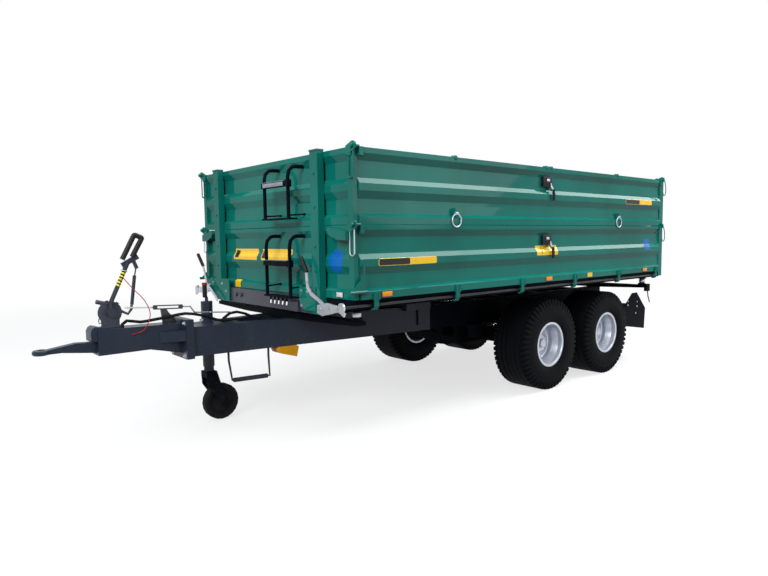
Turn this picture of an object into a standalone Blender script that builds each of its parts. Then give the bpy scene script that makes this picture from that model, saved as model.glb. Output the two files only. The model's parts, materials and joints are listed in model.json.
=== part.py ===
"""Three-way tipping trailer with a tandem axle, parked on its jack.

Metres. +X is the trailer's left, -Y is forwards, +Z is up and the ground is z = 0.
All places along Y are measured from the front face of the body until the last step,
which moves the origin to the ground under the middle of the trailer.
"""

import math

import bmesh
import bpy
from mathutils import Matrix, Vector

# Clearances between pieces, and the depth by which joined shapes run into each other
FIT = 0.0003
RUNNING = 0.006
WELD = 0.002

# Sides of smaller round pieces
ROUND_STEPS = 20

# Body
BED_LENGTH = 4.56
BED_WIDTH = 2.36
TIER_HEIGHT = 0.5175
TIER_GAP = 0.006
WALL_THICKNESS = 0.040
FLOOR_THICKNESS = 0.006
FLOOR_STEP = 0.010

# Corners of the body
POST_INSET = 0.015
FRONT_POST = 0.040
FRONT_POST_WIDTH = 0.055
REAR_POST = 0.100
REAR_POST_WIDTH = 0.100
REAR_POST_DROP = 0.060
HINGE_PIN_R = 0.010
PIN_REACH = 0.030
LUG_R = 0.032
LUG_THICKNESS = 0.012
LUG_ROOT = 0.075
LUG_HEIGHT = 0.060
HINGE_BLOCK = 0.030
CLIP_LENGTH = 0.150
CLIP_WIDTH = 0.050
CLIP_R = 0.0045

# Front wall fittings
STANCHION_INSET = 0.395
STANCHION_WIDTH = 0.095
STANCHION_DEPTH = 0.055
STANCHION_CAP = 0.008
FOOT_PLATE = 0.008
FOOT_PLATE_RISE = 0.073
LADDER_GAP = 0.240
LADDER_WIDTH = 0.340
LADDER_STANDOFF = 0.120
LADDER_R = 0.014
LADDER_CURL = 0.080
RUNG_OVERHANG = 0.030
APRON_DROP = 0.125
APRON_SHEET = 0.006
APRON_SETBACK = 0.010

# Underframe of the body
RIM_DEPTH = 0.080
RIM_RAIL = 0.074
RIM_INSET = 0.025
BEARER_X = 0.450
BEARER_WIDTH = 0.080
BEARER_DROP = 0.040
CROSS_BEARERS = 9
CROSS_BEARER_WIDTH = 0.060
CROSS_BEARER_DEPTH = 0.045

# Locking gear of the side walls
HOOKS = 6
HOOK_INSET = 0.177
HOOK_WIDTH = 0.036
SHAFT_INSET = 0.026
SHAFT_DROP = 0.043
SHAFT_R = 0.011
SHAFT_BOSS_R = 0.034
SHAFT_FRONT = 0.104
LEVER_SHEET = 0.008
LEVER_GRIP_R = 0.014
PIN_BAR_R = 0.0125
PIN_BAR_RISE = 0.055
LATCH_DROP = 0.129
LATCH_REACH = 0.030
RING_SPREAD = 1.250

# Wheels and axles
AXLE_BACK = 1.106
AXLE_SPACING = 1.028
TYRE_R = 0.437
TYRE_WIDTH = 0.388
TYRE_X = 0.919
BEAD_R = 0.196
RIM_FLANGE_R = 0.2145
RIM_WIDTH = 0.350
WHEEL_STEPS = 24
RIM_OFFSET = 0.026
RIM_SHEET = 0.012
WELL_R = 0.163
HUB_R = 0.070
HUB_CAP_R = 0.044
BOSS_R = 0.083
BOSS_REACH = 0.061
HUB_CAP_REACH = 0.095
AXLE_BEAM = 0.090
DRUM_R = 0.150

# Suspension
SPRING_SPACE = 0.138
SPRING_X = 0.500
SPRING_WIDTH = 0.080
SPRING_REACH = 0.420
SPRING_LEAF = 0.014
SPRING_RISE = 0.055
SPRING_LEAVES = 4
LEAF_TAPER = 0.200
SPRING_SEAT = 0.014
HANGER_HALF = 0.070
HANGER_LAP = 0.036

# Chassis
RAIL_X = 0.400
RAIL_WIDTH = 0.090
RAIL_DEPTH = 0.220
RAIL_AHEAD = 0.650
RAIL_BACK = 0.110
CROSS_WIDTH = 0.100
CROSS_MARGIN = 0.040
RAM_BAY = 0.420
OUTRIGGER_DEPTH = 0.050
OUTRIGGER_WIDTH = 0.090
OUTRIGGER_TIP = 0.030
BUMPER_INSET = 0.180
BUMPER_SHEET = 0.012

# Tipping pivots
PIVOT_INSET = 0.150
PIVOT_FRONT = 0.120
PIVOT_BACK = 0.210
PIVOT_RISE = 0.095
WALL_RISE = 0.120
BALL_R = 0.035
CUP_R = 0.043
CUP_LIP = 0.026
CUP_PLAY = 0.0012

# Drawbar
EYE_TIP = 1.730
EYE_R = 0.052
EYE_HOLE_R = 0.021
EYE_THICKNESS = 0.032
EYE_DROP = 0.076
EYE_EDGE = 0.008
SHANK_HALF = 0.030
HOUSING_FRONT = 1.345
HOUSING_HALF = 0.070
HOUSING_LIFT = 0.085
HOUSING_RISE = 0.042
HOUSING_FALL = 0.010
HOOD = 0.042
FLANGE_FACE = 0.735
FLANGE_PLATE = 0.028
FLANGE_HALF = 0.150
FLANGE_DROP = 0.012
FLANGE_RISE = 0.060
VEE_FRONT_X = 0.085
VEE_BEAM_WIDTH = 0.080
BRIDGE_SHEET = 0.010
BRIDGE_TOP_END = -0.300
BRIDGE_FOOT_END = 0.100
STEP_DROP = 0.220
CHOCK_LENGTH = 0.190
CHOCK_WIDTH = 0.055

# Overrun brake
QUADRANT_Y = -1.236
QUADRANT_RISE = 0.103
QUADRANT_R = 0.080
QUADRANT_SHEET = 0.012
QUADRANT_X = -0.020
TOOTH = 0.007
TEETH = 9
LEVER_X = 0.012
LEVER_R = 0.016
GRIP_R = 0.0165
STRUT_R = 0.012
BUCKLE_HALF = 0.016
BRAKE_ROD_R = 0.006
HOSE_R = 0.012
CABLE_R = 0.003

# Jack
JACK_X = -0.235
JACK_Y = -0.430
JACK_SLEEVE_R = 0.046
JACK_SLEEVE_WALL = 0.006
JACK_SLEEVE_RISE = 0.145
JACK_LEG_SHOWN = 0.040
JACK_WHEEL_R = 0.148
JACK_WHEEL_WIDTH = 0.082
JACK_TRAIL = 0.090
JACK_FORK_HEIGHT = 0.267
JACK_CHEEK = 0.006
JACK_PIN_R = 0.0101

# Tipping ram
RAM_AHEAD = 0.326
RAM_DROP = 0.170
RAM_BELOW = 0.090
RAM_BARREL_R = 0.090
RAM_WALL = 0.008
RAM_GAP = 0.0004
RAM_STAGES = 5
RAM_BARREL_LENGTH = 0.440
RAM_STAGE_STEP = 0.010
RAM_PIN_R = 0.0225
RAM_BASE = 0.014
RAM_CROWN = 0.024
HEAD_PLATE_HALF = 0.110

# Heights that follow from the sizes above, from the ground up
RAIL_FOOT = TYRE_R + AXLE_BEAM / 2 + SPRING_SPACE
RAIL_TOP = RAIL_FOOT + RAIL_DEPTH
PIVOT_Z = RAIL_TOP + PIVOT_RISE
WALL_FOOT = PIVOT_Z + WALL_RISE
TOP = WALL_FOOT + 2 * TIER_HEIGHT
TIER_TOPS = {"lower": WALL_FOOT + TIER_HEIGHT - TIER_GAP, "upper": TOP}
TIER_FEET = {"lower": WALL_FOOT, "upper": WALL_FOOT + TIER_HEIGHT}
FLOOR_TOP = WALL_FOOT + FLOOR_STEP
FLOOR_UNDER = FLOOR_TOP - FLOOR_THICKNESS
RIM_FOOT = FLOOR_TOP - RIM_DEPTH
BEARER_FOOT = RIM_FOOT - BEARER_DROP
EYE_Z = RAIL_TOP - EYE_DROP
HOUSING_FOOT = RAIL_FOOT + HOUSING_LIFT
HOUSING_TOP = RAIL_TOP + HOUSING_RISE
FLANGE_FOOT = RAIL_FOOT - FLANGE_DROP
FLANGE_TOP = RAIL_TOP + FLANGE_RISE
RAM_PIVOT_Z = RAIL_FOOT - RAM_DROP
RAM_FOOT = RAM_PIVOT_Z - RAM_BELOW
JACK_LEG_FOOT = JACK_WHEEL_R + JACK_FORK_HEIGHT
JACK_SLEEVE_FOOT = JACK_LEG_FOOT + JACK_LEG_SHOWN
JACK_SLEEVE_TOP = RAIL_TOP + JACK_SLEEVE_RISE
SHAFT_Z = WALL_FOOT - SHAFT_DROP

# Places across and along that follow from the sizes above
SIDE = BED_WIDTH / 2
POST_FACE = SIDE - POST_INSET
RIM_OUT = POST_FACE - RIM_INSET
PIVOT_X = SIDE - PIVOT_INSET
STANCHION_X = SIDE - STANCHION_INSET
LADDER_X = (STANCHION_X - LADDER_GAP - LADDER_WIDTH, STANCHION_X - LADDER_GAP)
BUMPER_X = SIDE - BUMPER_INSET
SHAFT_X = SIDE - SHAFT_INSET
REAR_FACE = BED_LENGTH - POST_INSET
WALL_START = FRONT_POST + RUNNING
WALL_END = BED_LENGTH - REAR_POST - RUNNING
WALL_MIDDLE = (WALL_START + WALL_END) / 2
FLOOR_END = BED_LENGTH - 2 * POST_INSET
PIVOT_REAR = BED_LENGTH - PIVOT_BACK
AXLES = {"front": BED_LENGTH - AXLE_BACK - AXLE_SPACING, "rear": BED_LENGTH - AXLE_BACK}
RAM_Y = AXLES["front"] - RAM_AHEAD
RAIL_START = RAM_Y - RAIL_AHEAD
RAIL_END = BED_LENGTH - RAIL_BACK
LEG_BORE_R = JACK_SLEEVE_R - JACK_SLEEVE_WALL
SIDES = {"left": 1, "right": -1}
REAR_REACH = 0.040
ORIGIN_SHIFT = (EYE_TIP - BED_LENGTH - REAR_REACH) / 2

# One tier's outer face: depth behind the outer plane and height above the tier's foot
TIER_FACE = (
    (0.000, 0.000),
    (0.000, 0.052),
    (0.022, 0.072),
    (0.024, 0.145),
    (0.024, 0.172),
    (0.002, 0.228),
    (0.002, 0.278),
    (0.024, 0.314),
    (0.024, 0.430),
    (0.000, 0.480),
)
PANEL_DEPTH = 0.024

# Section of a locking hook: out from the wall's outer plane and up from its foot
HOOK_SECTION = (
    (-0.002, 0.050),
    (0.010, 0.050),
    (0.010, -0.050),
    (0.004, -0.068),
    (-0.010, -0.080),
    (-0.028, -0.083),
    (-0.038, -0.076),
    (-0.034, -0.069),
    (-0.012, -0.068),
    (-0.002, -0.052),
)

# Hand levers of the locking shafts: out from the wall's outer plane and up from its foot
LEVERS = {
    "left": {
        "grip": ((-0.505, 0.289), (-0.438, 0.186)),
        "arm": ((-0.441, 0.190), (-0.434, 0.128), (-0.424, 0.071), (-0.381, 0.030), (-0.294, -0.007), (-0.235, -0.037)),
        "head": ((-0.308, -0.043), (-0.311, -0.100), (-0.250, -0.116), (-0.049, -0.071), (-0.082, -0.032), (-0.186, -0.020)),
    },
    "right": {
        "grip": ((-0.072, 0.287), (-0.174, 0.181)),
        "arm": ((-0.172, 0.184), (-0.211, 0.098), (-0.237, 0.024), (-0.358, -0.053), (-0.456, -0.120)),
        "head": ((-0.250, 0.010), (-0.310, -0.050), (-0.200, -0.080), (-0.049, -0.071), (-0.030, -0.032)),
    },
}
LEVER_TIP = ((-0.080, -0.052), (-0.030, -0.070), (0.008, -0.090))
LEVER_BAR = 0.028

# Horn-shaped bracket beside each upper corner of the lower front wall: out from the side, up from the joint
HORN = (
    (-0.045, -0.045),
    (-0.167, -0.026),
    (-0.249, -0.011),
    (-0.268, -0.034),
    (-0.239, -0.070),
    (-0.146, -0.101),
    (-0.045, -0.105),
)

# Foot plates on the stanchions: from and to along X, height above the apron's foot, size of the cut corner
FOOT_PLATES = {
    "left": (-0.211, 0.000, 0.021, 0.070, 0.070),
    "right": (-0.149, 0.212, 0.000, 0.193, 0.080),
}

# Studs on the top edge of the upper side walls, measured from the wall's middle
STUDS = (-1.250, -0.044, 0.034, 1.222)

COLOURS = {
    "green": ((0.018, 0.190, 0.150), 0.35, 0.0),
    "steel_blue": ((0.030, 0.042, 0.058), 0.45, 0.0),
    "anthracite": ((0.075, 0.080, 0.095), 0.45, 0.0),
    "black": ((0.010, 0.010, 0.012), 0.55, 0.0),
    "rubber": ((0.012, 0.012, 0.013), 0.85, 0.0),
    "silver": ((0.560, 0.570, 0.590), 0.35, 0.9),
    "chrome": ((0.700, 0.710, 0.720), 0.15, 1.0),
    "zinc": ((0.480, 0.500, 0.520), 0.40, 0.8),
    "yellow": ((0.850, 0.450, 0.010), 0.50, 0.0),
    "red": ((0.500, 0.010, 0.010), 0.50, 0.0),
}


def clear_scene():
    for obj in list(bpy.data.objects):
        bpy.data.objects.remove(obj)


def new_collection(name, parent):
    group = bpy.data.collections.new(name)
    parent.children.link(group)
    return group


clear_scene()
PARTS = new_collection("three_way_tipping_trailer", bpy.context.scene.collection)
HELPERS = new_collection("cutters_and_joined_pieces", bpy.context.scene.collection)


def material(colour):
    found = bpy.data.materials.get(colour)
    if found:
        return found
    base, roughness, metallic = COLOURS[colour]
    made = bpy.data.materials.new(colour)
    made.use_nodes = True
    shader = made.node_tree.nodes["Principled BSDF"]
    shader.inputs["Base Color"].default_value = (*base, 1.0)
    shader.inputs["Roughness"].default_value = roughness
    shader.inputs["Metallic"].default_value = metallic
    return made


# Shapes


def piece(mesh):
    """A helper object that holds one closed shape, ready to be joined or cut away."""
    obj = bpy.data.objects.new(mesh.name, mesh)
    HELPERS.objects.link(obj)
    obj.hide_render = True
    obj.display_type = "WIRE"
    return obj


def from_bmesh(shape, name="piece"):
    bmesh.ops.recalc_face_normals(shape, faces=shape.faces)
    mesh = bpy.data.meshes.new(name)
    shape.to_mesh(mesh)
    shape.free()
    return piece(mesh)


def span(a, b):
    """The two numbers as a (low, high) pair."""
    return (min(a, b), max(a, b))


def box(x, y, z):
    """A box from three (low, high) pairs."""
    shape = bmesh.new()
    size = [high - low for low, high in (x, y, z)]
    middle = [(high + low) / 2 for low, high in (x, y, z)]
    bmesh.ops.create_cube(shape, size=1.0, matrix=Matrix.Translation(middle) @ Matrix.Diagonal((*size, 1.0)))
    return from_bmesh(shape)


def rod(start, end, radius, end_radius=None, sides=16):
    """A round bar, or a cone where the end has another radius."""
    start, end = Vector(start), Vector(end)
    along = end - start
    shape = bmesh.new()
    turn = along.to_track_quat("Z", "Y").to_matrix().to_4x4()
    bmesh.ops.create_cone(
        shape,
        cap_ends=True,
        segments=sides,
        radius1=radius,
        radius2=radius if end_radius is None else end_radius,
        depth=along.length,
        matrix=Matrix.Translation((start + end) / 2) @ turn,
    )
    return from_bmesh(shape)


def ball(centre, radius, sides=12, rings=8):
    shape = bmesh.new()
    bmesh.ops.create_uvsphere(
        shape, u_segments=sides, v_segments=rings, radius=radius, matrix=Matrix.Translation(centre)
    )
    return from_bmesh(shape)


PLANES = {
    "X": Matrix(((0, 0, 1), (1, 0, 0), (0, 1, 0))),
    "Y": Matrix(((1, 0, 0), (0, 0, -1), (0, 1, 0))),
    "Z": Matrix(((1, 0, 0), (0, 1, 0), (0, 0, 1))),
}


def mesh_of_curve(obj):
    """The curve's own mesh with its caps welded on; the curve is removed."""
    graph = bpy.context.evaluated_depsgraph_get()
    mesh = bpy.data.meshes.new_from_object(obj.evaluated_get(graph))
    mesh.transform(obj.matrix_world)
    shape = bmesh.new()
    shape.from_mesh(mesh)
    bmesh.ops.remove_doubles(shape, verts=shape.verts, dist=0.00002)
    bpy.data.objects.remove(obj)
    bpy.data.meshes.remove(mesh)
    return from_bmesh(shape)


def plate(outline, across, low, high):
    """A flat outline, extruded from low to high along the axis named by across.

    The outline's two numbers are the other two axes in the order X, Y, Z.
    """
    curve = bpy.data.curves.new("outline", "CURVE")
    curve.dimensions = "2D"
    curve.fill_mode = "BOTH"
    curve.extrude = (high - low) / 2
    line = curve.splines.new("POLY")
    line.points.add(len(outline) - 1)
    for point, (a, b) in zip(line.points, outline):
        point.co = (a, b, 0.0, 1.0)
    line.use_cyclic_u = True
    obj = bpy.data.objects.new("outline", curve)
    HELPERS.objects.link(obj)
    turn = PLANES[across]
    middle = (low + high) / 2 * (-1 if across == "Y" else 1)
    obj.matrix_world = Matrix.Translation(turn.col[2] * middle) @ turn.to_4x4()
    bpy.context.view_layer.update()
    return mesh_of_curve(obj)


def flat_bar(points, width, across, low, high):
    """A flat bar of one width that follows the points, cut from plate like the outlines above."""
    knots = [Vector(point) for point in points]
    runs = [(after - before).normalized() for before, after in zip(knots, knots[1:])]
    near, far = [], []
    for knot, before, after in zip(knots, [runs[0], *runs], [*runs, runs[-1]]):
        aside = (before + after).normalized().orthogonal()
        aside *= width / 2 / aside.dot(after.orthogonal())
        near.append(tuple(knot + aside))
        far.append(tuple(knot - aside))
    return plate(near + far[::-1], across, low, high)


def arc(centre, radius, start, end, steps):
    """Points on an arc, angles in degrees, in the order of the turn."""
    turns = [math.radians(start + (end - start) * i / steps) for i in range(steps + 1)]
    return [(centre[0] + radius * math.cos(turn), centre[1] + radius * math.sin(turn)) for turn in turns]


def smooth_route(points, spacing):
    """Points about a spacing apart on a smooth curve through the given ones."""
    knots = [Vector(point) for point in points]
    knots = [2 * knots[0] - knots[1], *knots, 2 * knots[-1] - knots[-2]]
    route = [knots[1]]
    for a, b, c, d in zip(knots, knots[1:], knots[2:], knots[3:]):
        steps = max(1, round((c - b).length / spacing))
        for i in range(1, steps + 1):
            t = i / steps
            route.append(
                0.5 * (2 * b + (c - a) * t + (2 * a - 5 * b + 4 * c - d) * t**2 + (3 * b - a - 3 * c + d) * t**3)
            )
    return route


def tube(points, radius, sides=2, closed=False):
    """A round tube or wire through the points; a closed one is a ring or link."""
    curve = bpy.data.curves.new("route", "CURVE")
    curve.dimensions = "3D"
    curve.bevel_depth = radius
    curve.bevel_resolution = sides
    curve.use_fill_caps = not closed
    line = curve.splines.new("POLY")
    line.points.add(len(points) - 1)
    for knot, point in zip(line.points, points):
        knot.co = (*point, 1.0)
    line.use_cyclic_u = closed
    obj = bpy.data.objects.new("route", curve)
    HELPERS.objects.link(obj)
    bpy.context.view_layer.update()
    return mesh_of_curve(obj)


def turned(profile, centre, axis, steps=32):
    """A turned shape from (radius, along) points that run down the outer side, top to bottom."""
    mesh = bpy.data.meshes.new("profile")
    closed = profile[0][0] > 0 and profile[-1][0] > 0
    edges = [(i, i + 1) for i in range(len(profile) - 1)]
    if closed:
        edges.append((len(profile) - 1, 0))
    mesh.from_pydata([(radius, 0.0, along) for radius, along in profile], edges, [])
    obj = bpy.data.objects.new("profile", mesh)
    HELPERS.objects.link(obj)
    screw = obj.modifiers.new("turn", "SCREW")
    screw.steps = steps
    screw.render_steps = steps
    screw.use_merge_vertices = True
    screw.merge_threshold = 0.00001
    obj.matrix_world = Matrix.Translation(centre) @ Vector(axis).to_track_quat("Z", "Y").to_matrix().to_4x4()
    bpy.context.view_layer.update()
    return mesh_of_curve(obj)


def turned_disc(profile, centre, axis, steps):
    """A turned shape whose profile reaches the axis in its middle, so it is cut there and closed by the turn."""
    hub = next(i for i, point in enumerate(profile) if point[0] == 0.0)
    return turned(profile[hub + 1 :] + profile[: hub + 1], centre, axis, steps)


def group_of(pieces, name):
    group = new_collection(name, HELPERS)
    for obj in pieces:
        HELPERS.objects.unlink(obj)
        group.objects.link(obj)
    return group


def combine(obj, name, operation, pieces):
    step = obj.modifiers.new(operation.lower(), "BOOLEAN")
    step.operation = operation
    step.solver = "EXACT"
    step.operand_type = "COLLECTION"
    step.collection = group_of(pieces, f"{name}_{operation.lower()}")


TO_COMBINE = []


def combine_all():
    """Every join and cut is set up last, so that none is worked out twice."""
    for obj, name, operation, pieces in TO_COMBINE:
        combine(obj, name, operation, pieces)


def part(name, colour, pieces, cuts=(), smooth=False):
    """One named node: its pieces joined into one body, then its cuts taken out."""
    obj, *others = pieces
    HELPERS.objects.unlink(obj)
    PARTS.objects.link(obj)
    obj.hide_render = False
    obj.display_type = "TEXTURED"
    obj.name = name
    obj.data.name = name
    obj.data.materials.append(material(colour))
    if others:
        TO_COMBINE.append((obj, name, "UNION", others))
    if cuts:
        TO_COMBINE.append((obj, name, "DIFFERENCE", cuts))
    if smooth:
        obj.data.shade_smooth()
        obj.data.set_sharp_from_angle(angle=math.radians(35))
    return obj

# Drawbar


def drawbar_eye():
    eye_y = EYE_R - EYE_TIP
    shank_end = -HOUSING_FRONT - FIT
    half = EYE_THICKNESS / 2
    ring = turned(
        [
            (EYE_R - EYE_EDGE, half),
            (EYE_R, half - EYE_EDGE),
            (EYE_R, EYE_EDGE - half),
            (EYE_R - EYE_EDGE, -half),
            (EYE_HOLE_R, -half),
            (EYE_HOLE_R, half),
        ],
        (0, eye_y, EYE_Z),
        (0, 0, 1),
        steps=24,
    )
    root = eye_y + EYE_HOLE_R + 0.010
    shank = plate(
        [
            (root, EYE_Z - half + WELD),
            (-1.560, EYE_Z - 0.014),
            (shank_end, EYE_Z - 0.042),
            (shank_end, EYE_Z + 0.032),
            (-1.470, EYE_Z + 0.039),
            (root, EYE_Z + half - WELD),
        ],
        "X",
        -SHANK_HALF,
        SHANK_HALF,
    )
    return part("drawbar_eye", "steel_blue", [ring, shank], smooth=True)


def housing_top(y):
    """Height of the housing's sloping top at y."""
    share = (y + HOUSING_FRONT) / (HOUSING_FRONT - FLANGE_FACE - FLANGE_PLATE)
    return HOUSING_TOP - share * HOUSING_FALL


def overrun_housing():
    """Box housing with a rounded cowl over the shank, two side shelves and the bolted flange."""
    face = -FLANGE_FACE
    back = face - FLANGE_PLATE
    front = -HOUSING_FRONT
    body = plate(
        [
            (front, HOUSING_FOOT),
            (-1.000, HOUSING_FOOT),
            (back + WELD, FLANGE_FOOT + 0.040),
            (back + WELD, HOUSING_TOP - HOUSING_FALL),
            (front, HOUSING_TOP),
        ],
        "X",
        -HOUSING_HALF,
        HOUSING_HALF,
    )
    flange = box((-FLANGE_HALF, FLANGE_HALF), (back, face), (FLANGE_FOOT, FLANGE_TOP))
    shelves = [
        plate(
            [(sign * 0.060, -0.930), (sign * 0.075, -0.930), (sign * 0.135, back + WELD), (sign * 0.060, back + WELD)],
            "Z",
            EYE_Z - 0.019,
            EYE_Z + 0.056,
        )
        for sign in SIDES.values()
    ]
    cowl = plate(
        [
            (front + 0.034, HOUSING_TOP - 0.004),
            (front + 0.020, HOUSING_TOP + 0.016),
            (front - 0.012, HOUSING_TOP + 0.023),
            (front - 0.031, HOUSING_TOP + 0.012),
            (front - HOOD, HOUSING_TOP - 0.012),
            (front - HOOD, EYE_Z + 0.041),
            (front + WELD, EYE_Z + 0.041),
        ],
        "X",
        0.008 - HOUSING_HALF,
        HOUSING_HALF - 0.008,
    )
    return part("overrun_housing", "steel_blue", [body, flange, cowl, *shelves])


def vee_x(y):
    """Middle of the drawbar beam at y, from the flange to the chassis rails."""
    start = -FLANGE_FACE + FLANGE_PLATE
    share = (y - start) / (RAIL_START - start)
    return VEE_FRONT_X + share * (RAIL_X - VEE_FRONT_X)


def drawbar_vee():
    """Rear half of the flange, the two spreading beams, their bridges and the prop shelves beside them."""
    face = -FLANGE_FACE + FIT
    start = face + FLANGE_PLATE
    end = RAIL_START - FIT
    half = VEE_BEAM_WIDTH / 2
    pieces = [box((-FLANGE_HALF, FLANGE_HALF), (face, start), (FLANGE_FOOT, FLANGE_TOP))]
    root = start - 2 * WELD
    for sign in SIDES.values():
        outline = [
            (sign * (vee_x(root) - half), root),
            (sign * (vee_x(end) - half), end),
            (sign * (vee_x(end) + half), end),
            (sign * (vee_x(root) + half), root),
        ]
        pieces.append(plate(outline, "Z", RAIL_FOOT, RAIL_TOP))
        shelf = (end - 0.310, end - 0.010)
        outside = RAIL_X + RAIL_WIDTH / 2 + 0.010
        pieces.append(box(span(sign * vee_x(shelf[0]), sign * outside), shelf, (RAIL_TOP - 0.020, RAIL_TOP + 0.040)))
        tab = box(span(sign * (outside - 0.030), sign * (outside - 0.018)), (end - 0.150, end - 0.090), (RAIL_TOP - 0.165, RAIL_TOP))
        pieces.append(tab)
    for stop, low in ((BRIDGE_TOP_END, RAIL_TOP - WELD - BRIDGE_SHEET), (BRIDGE_FOOT_END, RAIL_FOOT + WELD)):
        outline = [(-vee_x(root), root), (vee_x(root), root), (vee_x(stop), stop), (-vee_x(stop), stop)]
        pieces.append(plate(outline, "Z", low, low + BRIDGE_SHEET))
    return part("drawbar_vee", "steel_blue", pieces)


# Chassis


def chassis_frame():
    """Two rails with their cross members and the valve box below the left rail."""
    half = RAIL_WIDTH / 2
    pieces = [
        box(span(sign * (RAIL_X - half), sign * (RAIL_X + half)), (RAIL_START, RAIL_END), (RAIL_FOOT, RAIL_TOP))
        for sign in SIDES.values()
    ]
    places = (
        RAIL_START + CROSS_WIDTH / 2,
        RAM_Y + RAM_BAY,
        (AXLES["front"] + AXLES["rear"]) / 2,
        AXLES["rear"] + 0.146,
        RAIL_END - CROSS_WIDTH / 2,
    )
    cross_z = (RAIL_FOOT + CROSS_MARGIN, RAIL_TOP - CROSS_MARGIN)
    pieces += [box((-RAIL_X, RAIL_X), (y - CROSS_WIDTH / 2, y + CROSS_WIDTH / 2), cross_z) for y in places]
    valve_y = (RAIL_START + 0.110, RAIL_START + 0.260)
    inner = RAIL_X - half
    pieces.append(box((inner - 0.100, inner - 0.008), valve_y, (RAIL_FOOT - 0.130, RAIL_FOOT - 0.033)))
    strap_y = (valve_y[0] + 0.040, valve_y[1] - 0.040)
    pieces.append(box((inner - 0.012, inner + 0.015), strap_y, (RAIL_FOOT - 0.060, RAIL_FOOT + 0.005)))
    return part("chassis_frame", "black", pieces)


def cup_bore():
    """Bore that holds the ball just clear at the lip of its cup."""
    return math.sqrt(BALL_R**2 - CUP_LIP**2) + CUP_PLAY


def outrigger(name, y, under, ends=False):
    """Cross beam with an open ball cup on a stub at each end; under is the top of what carries it."""
    half = OUTRIGGER_WIDTH / 2
    reach = PIVOT_X + CUP_R + 0.005
    foot = under + FIT
    top = foot + OUTRIGGER_DEPTH
    flat = 0.500
    outline = [
        (-reach, top - OUTRIGGER_TIP),
        (-reach, top),
        (reach, top),
        (reach, top - OUTRIGGER_TIP),
        (flat, foot),
        (-flat, foot),
    ]
    pieces = [plate(outline, "Y", y - half, y + half)]
    recesses = []
    for sign in SIDES.values():
        x = sign * PIVOT_X
        pieces.append(rod((x, y, top - 0.010), (x, y, PIVOT_Z - CUP_LIP), CUP_R))
        recesses.append(rod((x, y, PIVOT_Z - BALL_R - FIT), (x, y, PIVOT_Z), cup_bore()))
        if ends:
            pieces.append(box(span(sign * (reach - WELD), sign * (reach + 0.030)), (y - 0.040, y + 0.040), (top - 0.070, top + 0.012)))
            hook_x = sign * (reach + 0.014)
            route = [(hook_x, y + 0.015, top - 0.066), (hook_x, y + 0.030, top - 0.130), (hook_x, y + 0.070, top - 0.205)]
            pieces.append(tube(route, 0.006))
    return part(name, "black", pieces, cuts=recesses)


def rear_bumper():
    """Side plates below the rear outrigger, joined by an open channel that carries the lamps."""
    outline = [
        (BED_LENGTH - 0.260, RAIL_TOP - 0.040),
        (BED_LENGTH - 0.050, RAIL_TOP - 0.240),
        (BED_LENGTH - 0.070, RAIL_TOP - 0.480),
        (BED_LENGTH - 0.590, RAIL_TOP - 0.400),
        (BED_LENGTH - 0.590, RAIL_TOP - 0.220),
        (BED_LENGTH - 0.360, RAIL_TOP - 0.040),
    ]
    web, lip = BED_LENGTH - 0.105, BED_LENGTH - 0.058
    foot, top = RAIL_TOP - 0.474, RAIL_TOP - 0.252
    section = [
        (web, foot),
        (lip, foot),
        (lip, foot + BUMPER_SHEET),
        (web + BUMPER_SHEET, foot + BUMPER_SHEET),
        (web + BUMPER_SHEET, top - BUMPER_SHEET),
        (lip, top - BUMPER_SHEET),
        (lip, top),
        (web, top),
    ]
    inside = BUMPER_X - BUMPER_SHEET
    pieces = [plate(section, "X", -inside - WELD, inside + WELD)]
    rail_side = RAIL_X + RAIL_WIDTH / 2 + FIT
    ledge_y = (BED_LENGTH - 0.570, BED_LENGTH - 0.470)
    for sign in SIDES.values():
        pieces.append(plate(outline, "X", *span(sign * inside, sign * BUMPER_X)))
        lamp_x = span(sign * (inside - 0.280), sign * (inside - 0.040))
        pieces.append(box(lamp_x, (web + WELD, lip - 0.004), (foot + 0.040, top - 0.060)))
        pieces.append(box(span(sign * rail_side, sign * (inside + WELD)), ledge_y, (RAIL_TOP - 0.210, RAIL_TOP - 0.150)))
    return part("rear_bumper", "black", pieces)


def leaf_pack(middle, seat, low, high):
    """Side view of one spring: the longest leaf on top, each shorter one stepped in below it."""

    def underside(along):
        return seat + SPRING_SEAT + SPRING_RISE * (along / SPRING_REACH) ** 2

    steps = []
    for leaf in range(SPRING_LEAVES):
        reach = SPRING_REACH * (1 - leaf * LEAF_TAPER)
        top = underside(reach) + (SPRING_LEAVES - leaf) * SPRING_LEAF
        steps += [(reach, top), (reach, top - SPRING_LEAF)]
    right = [(middle + along, z) for along, z in steps]
    left = [(middle - along, z) for along, z in reversed(steps)]
    crown = underside(0.0) + SPRING_LEAVES * SPRING_LEAF
    half_way = underside(SPRING_REACH / 2) + SPRING_LEAVES * SPRING_LEAF
    back = [(middle - SPRING_REACH / 2, half_way), (middle, crown), (middle + SPRING_REACH / 2, half_way)]
    return plate([*right, (middle, underside(0.0)), *left, *back], "X", low, high)


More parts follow.
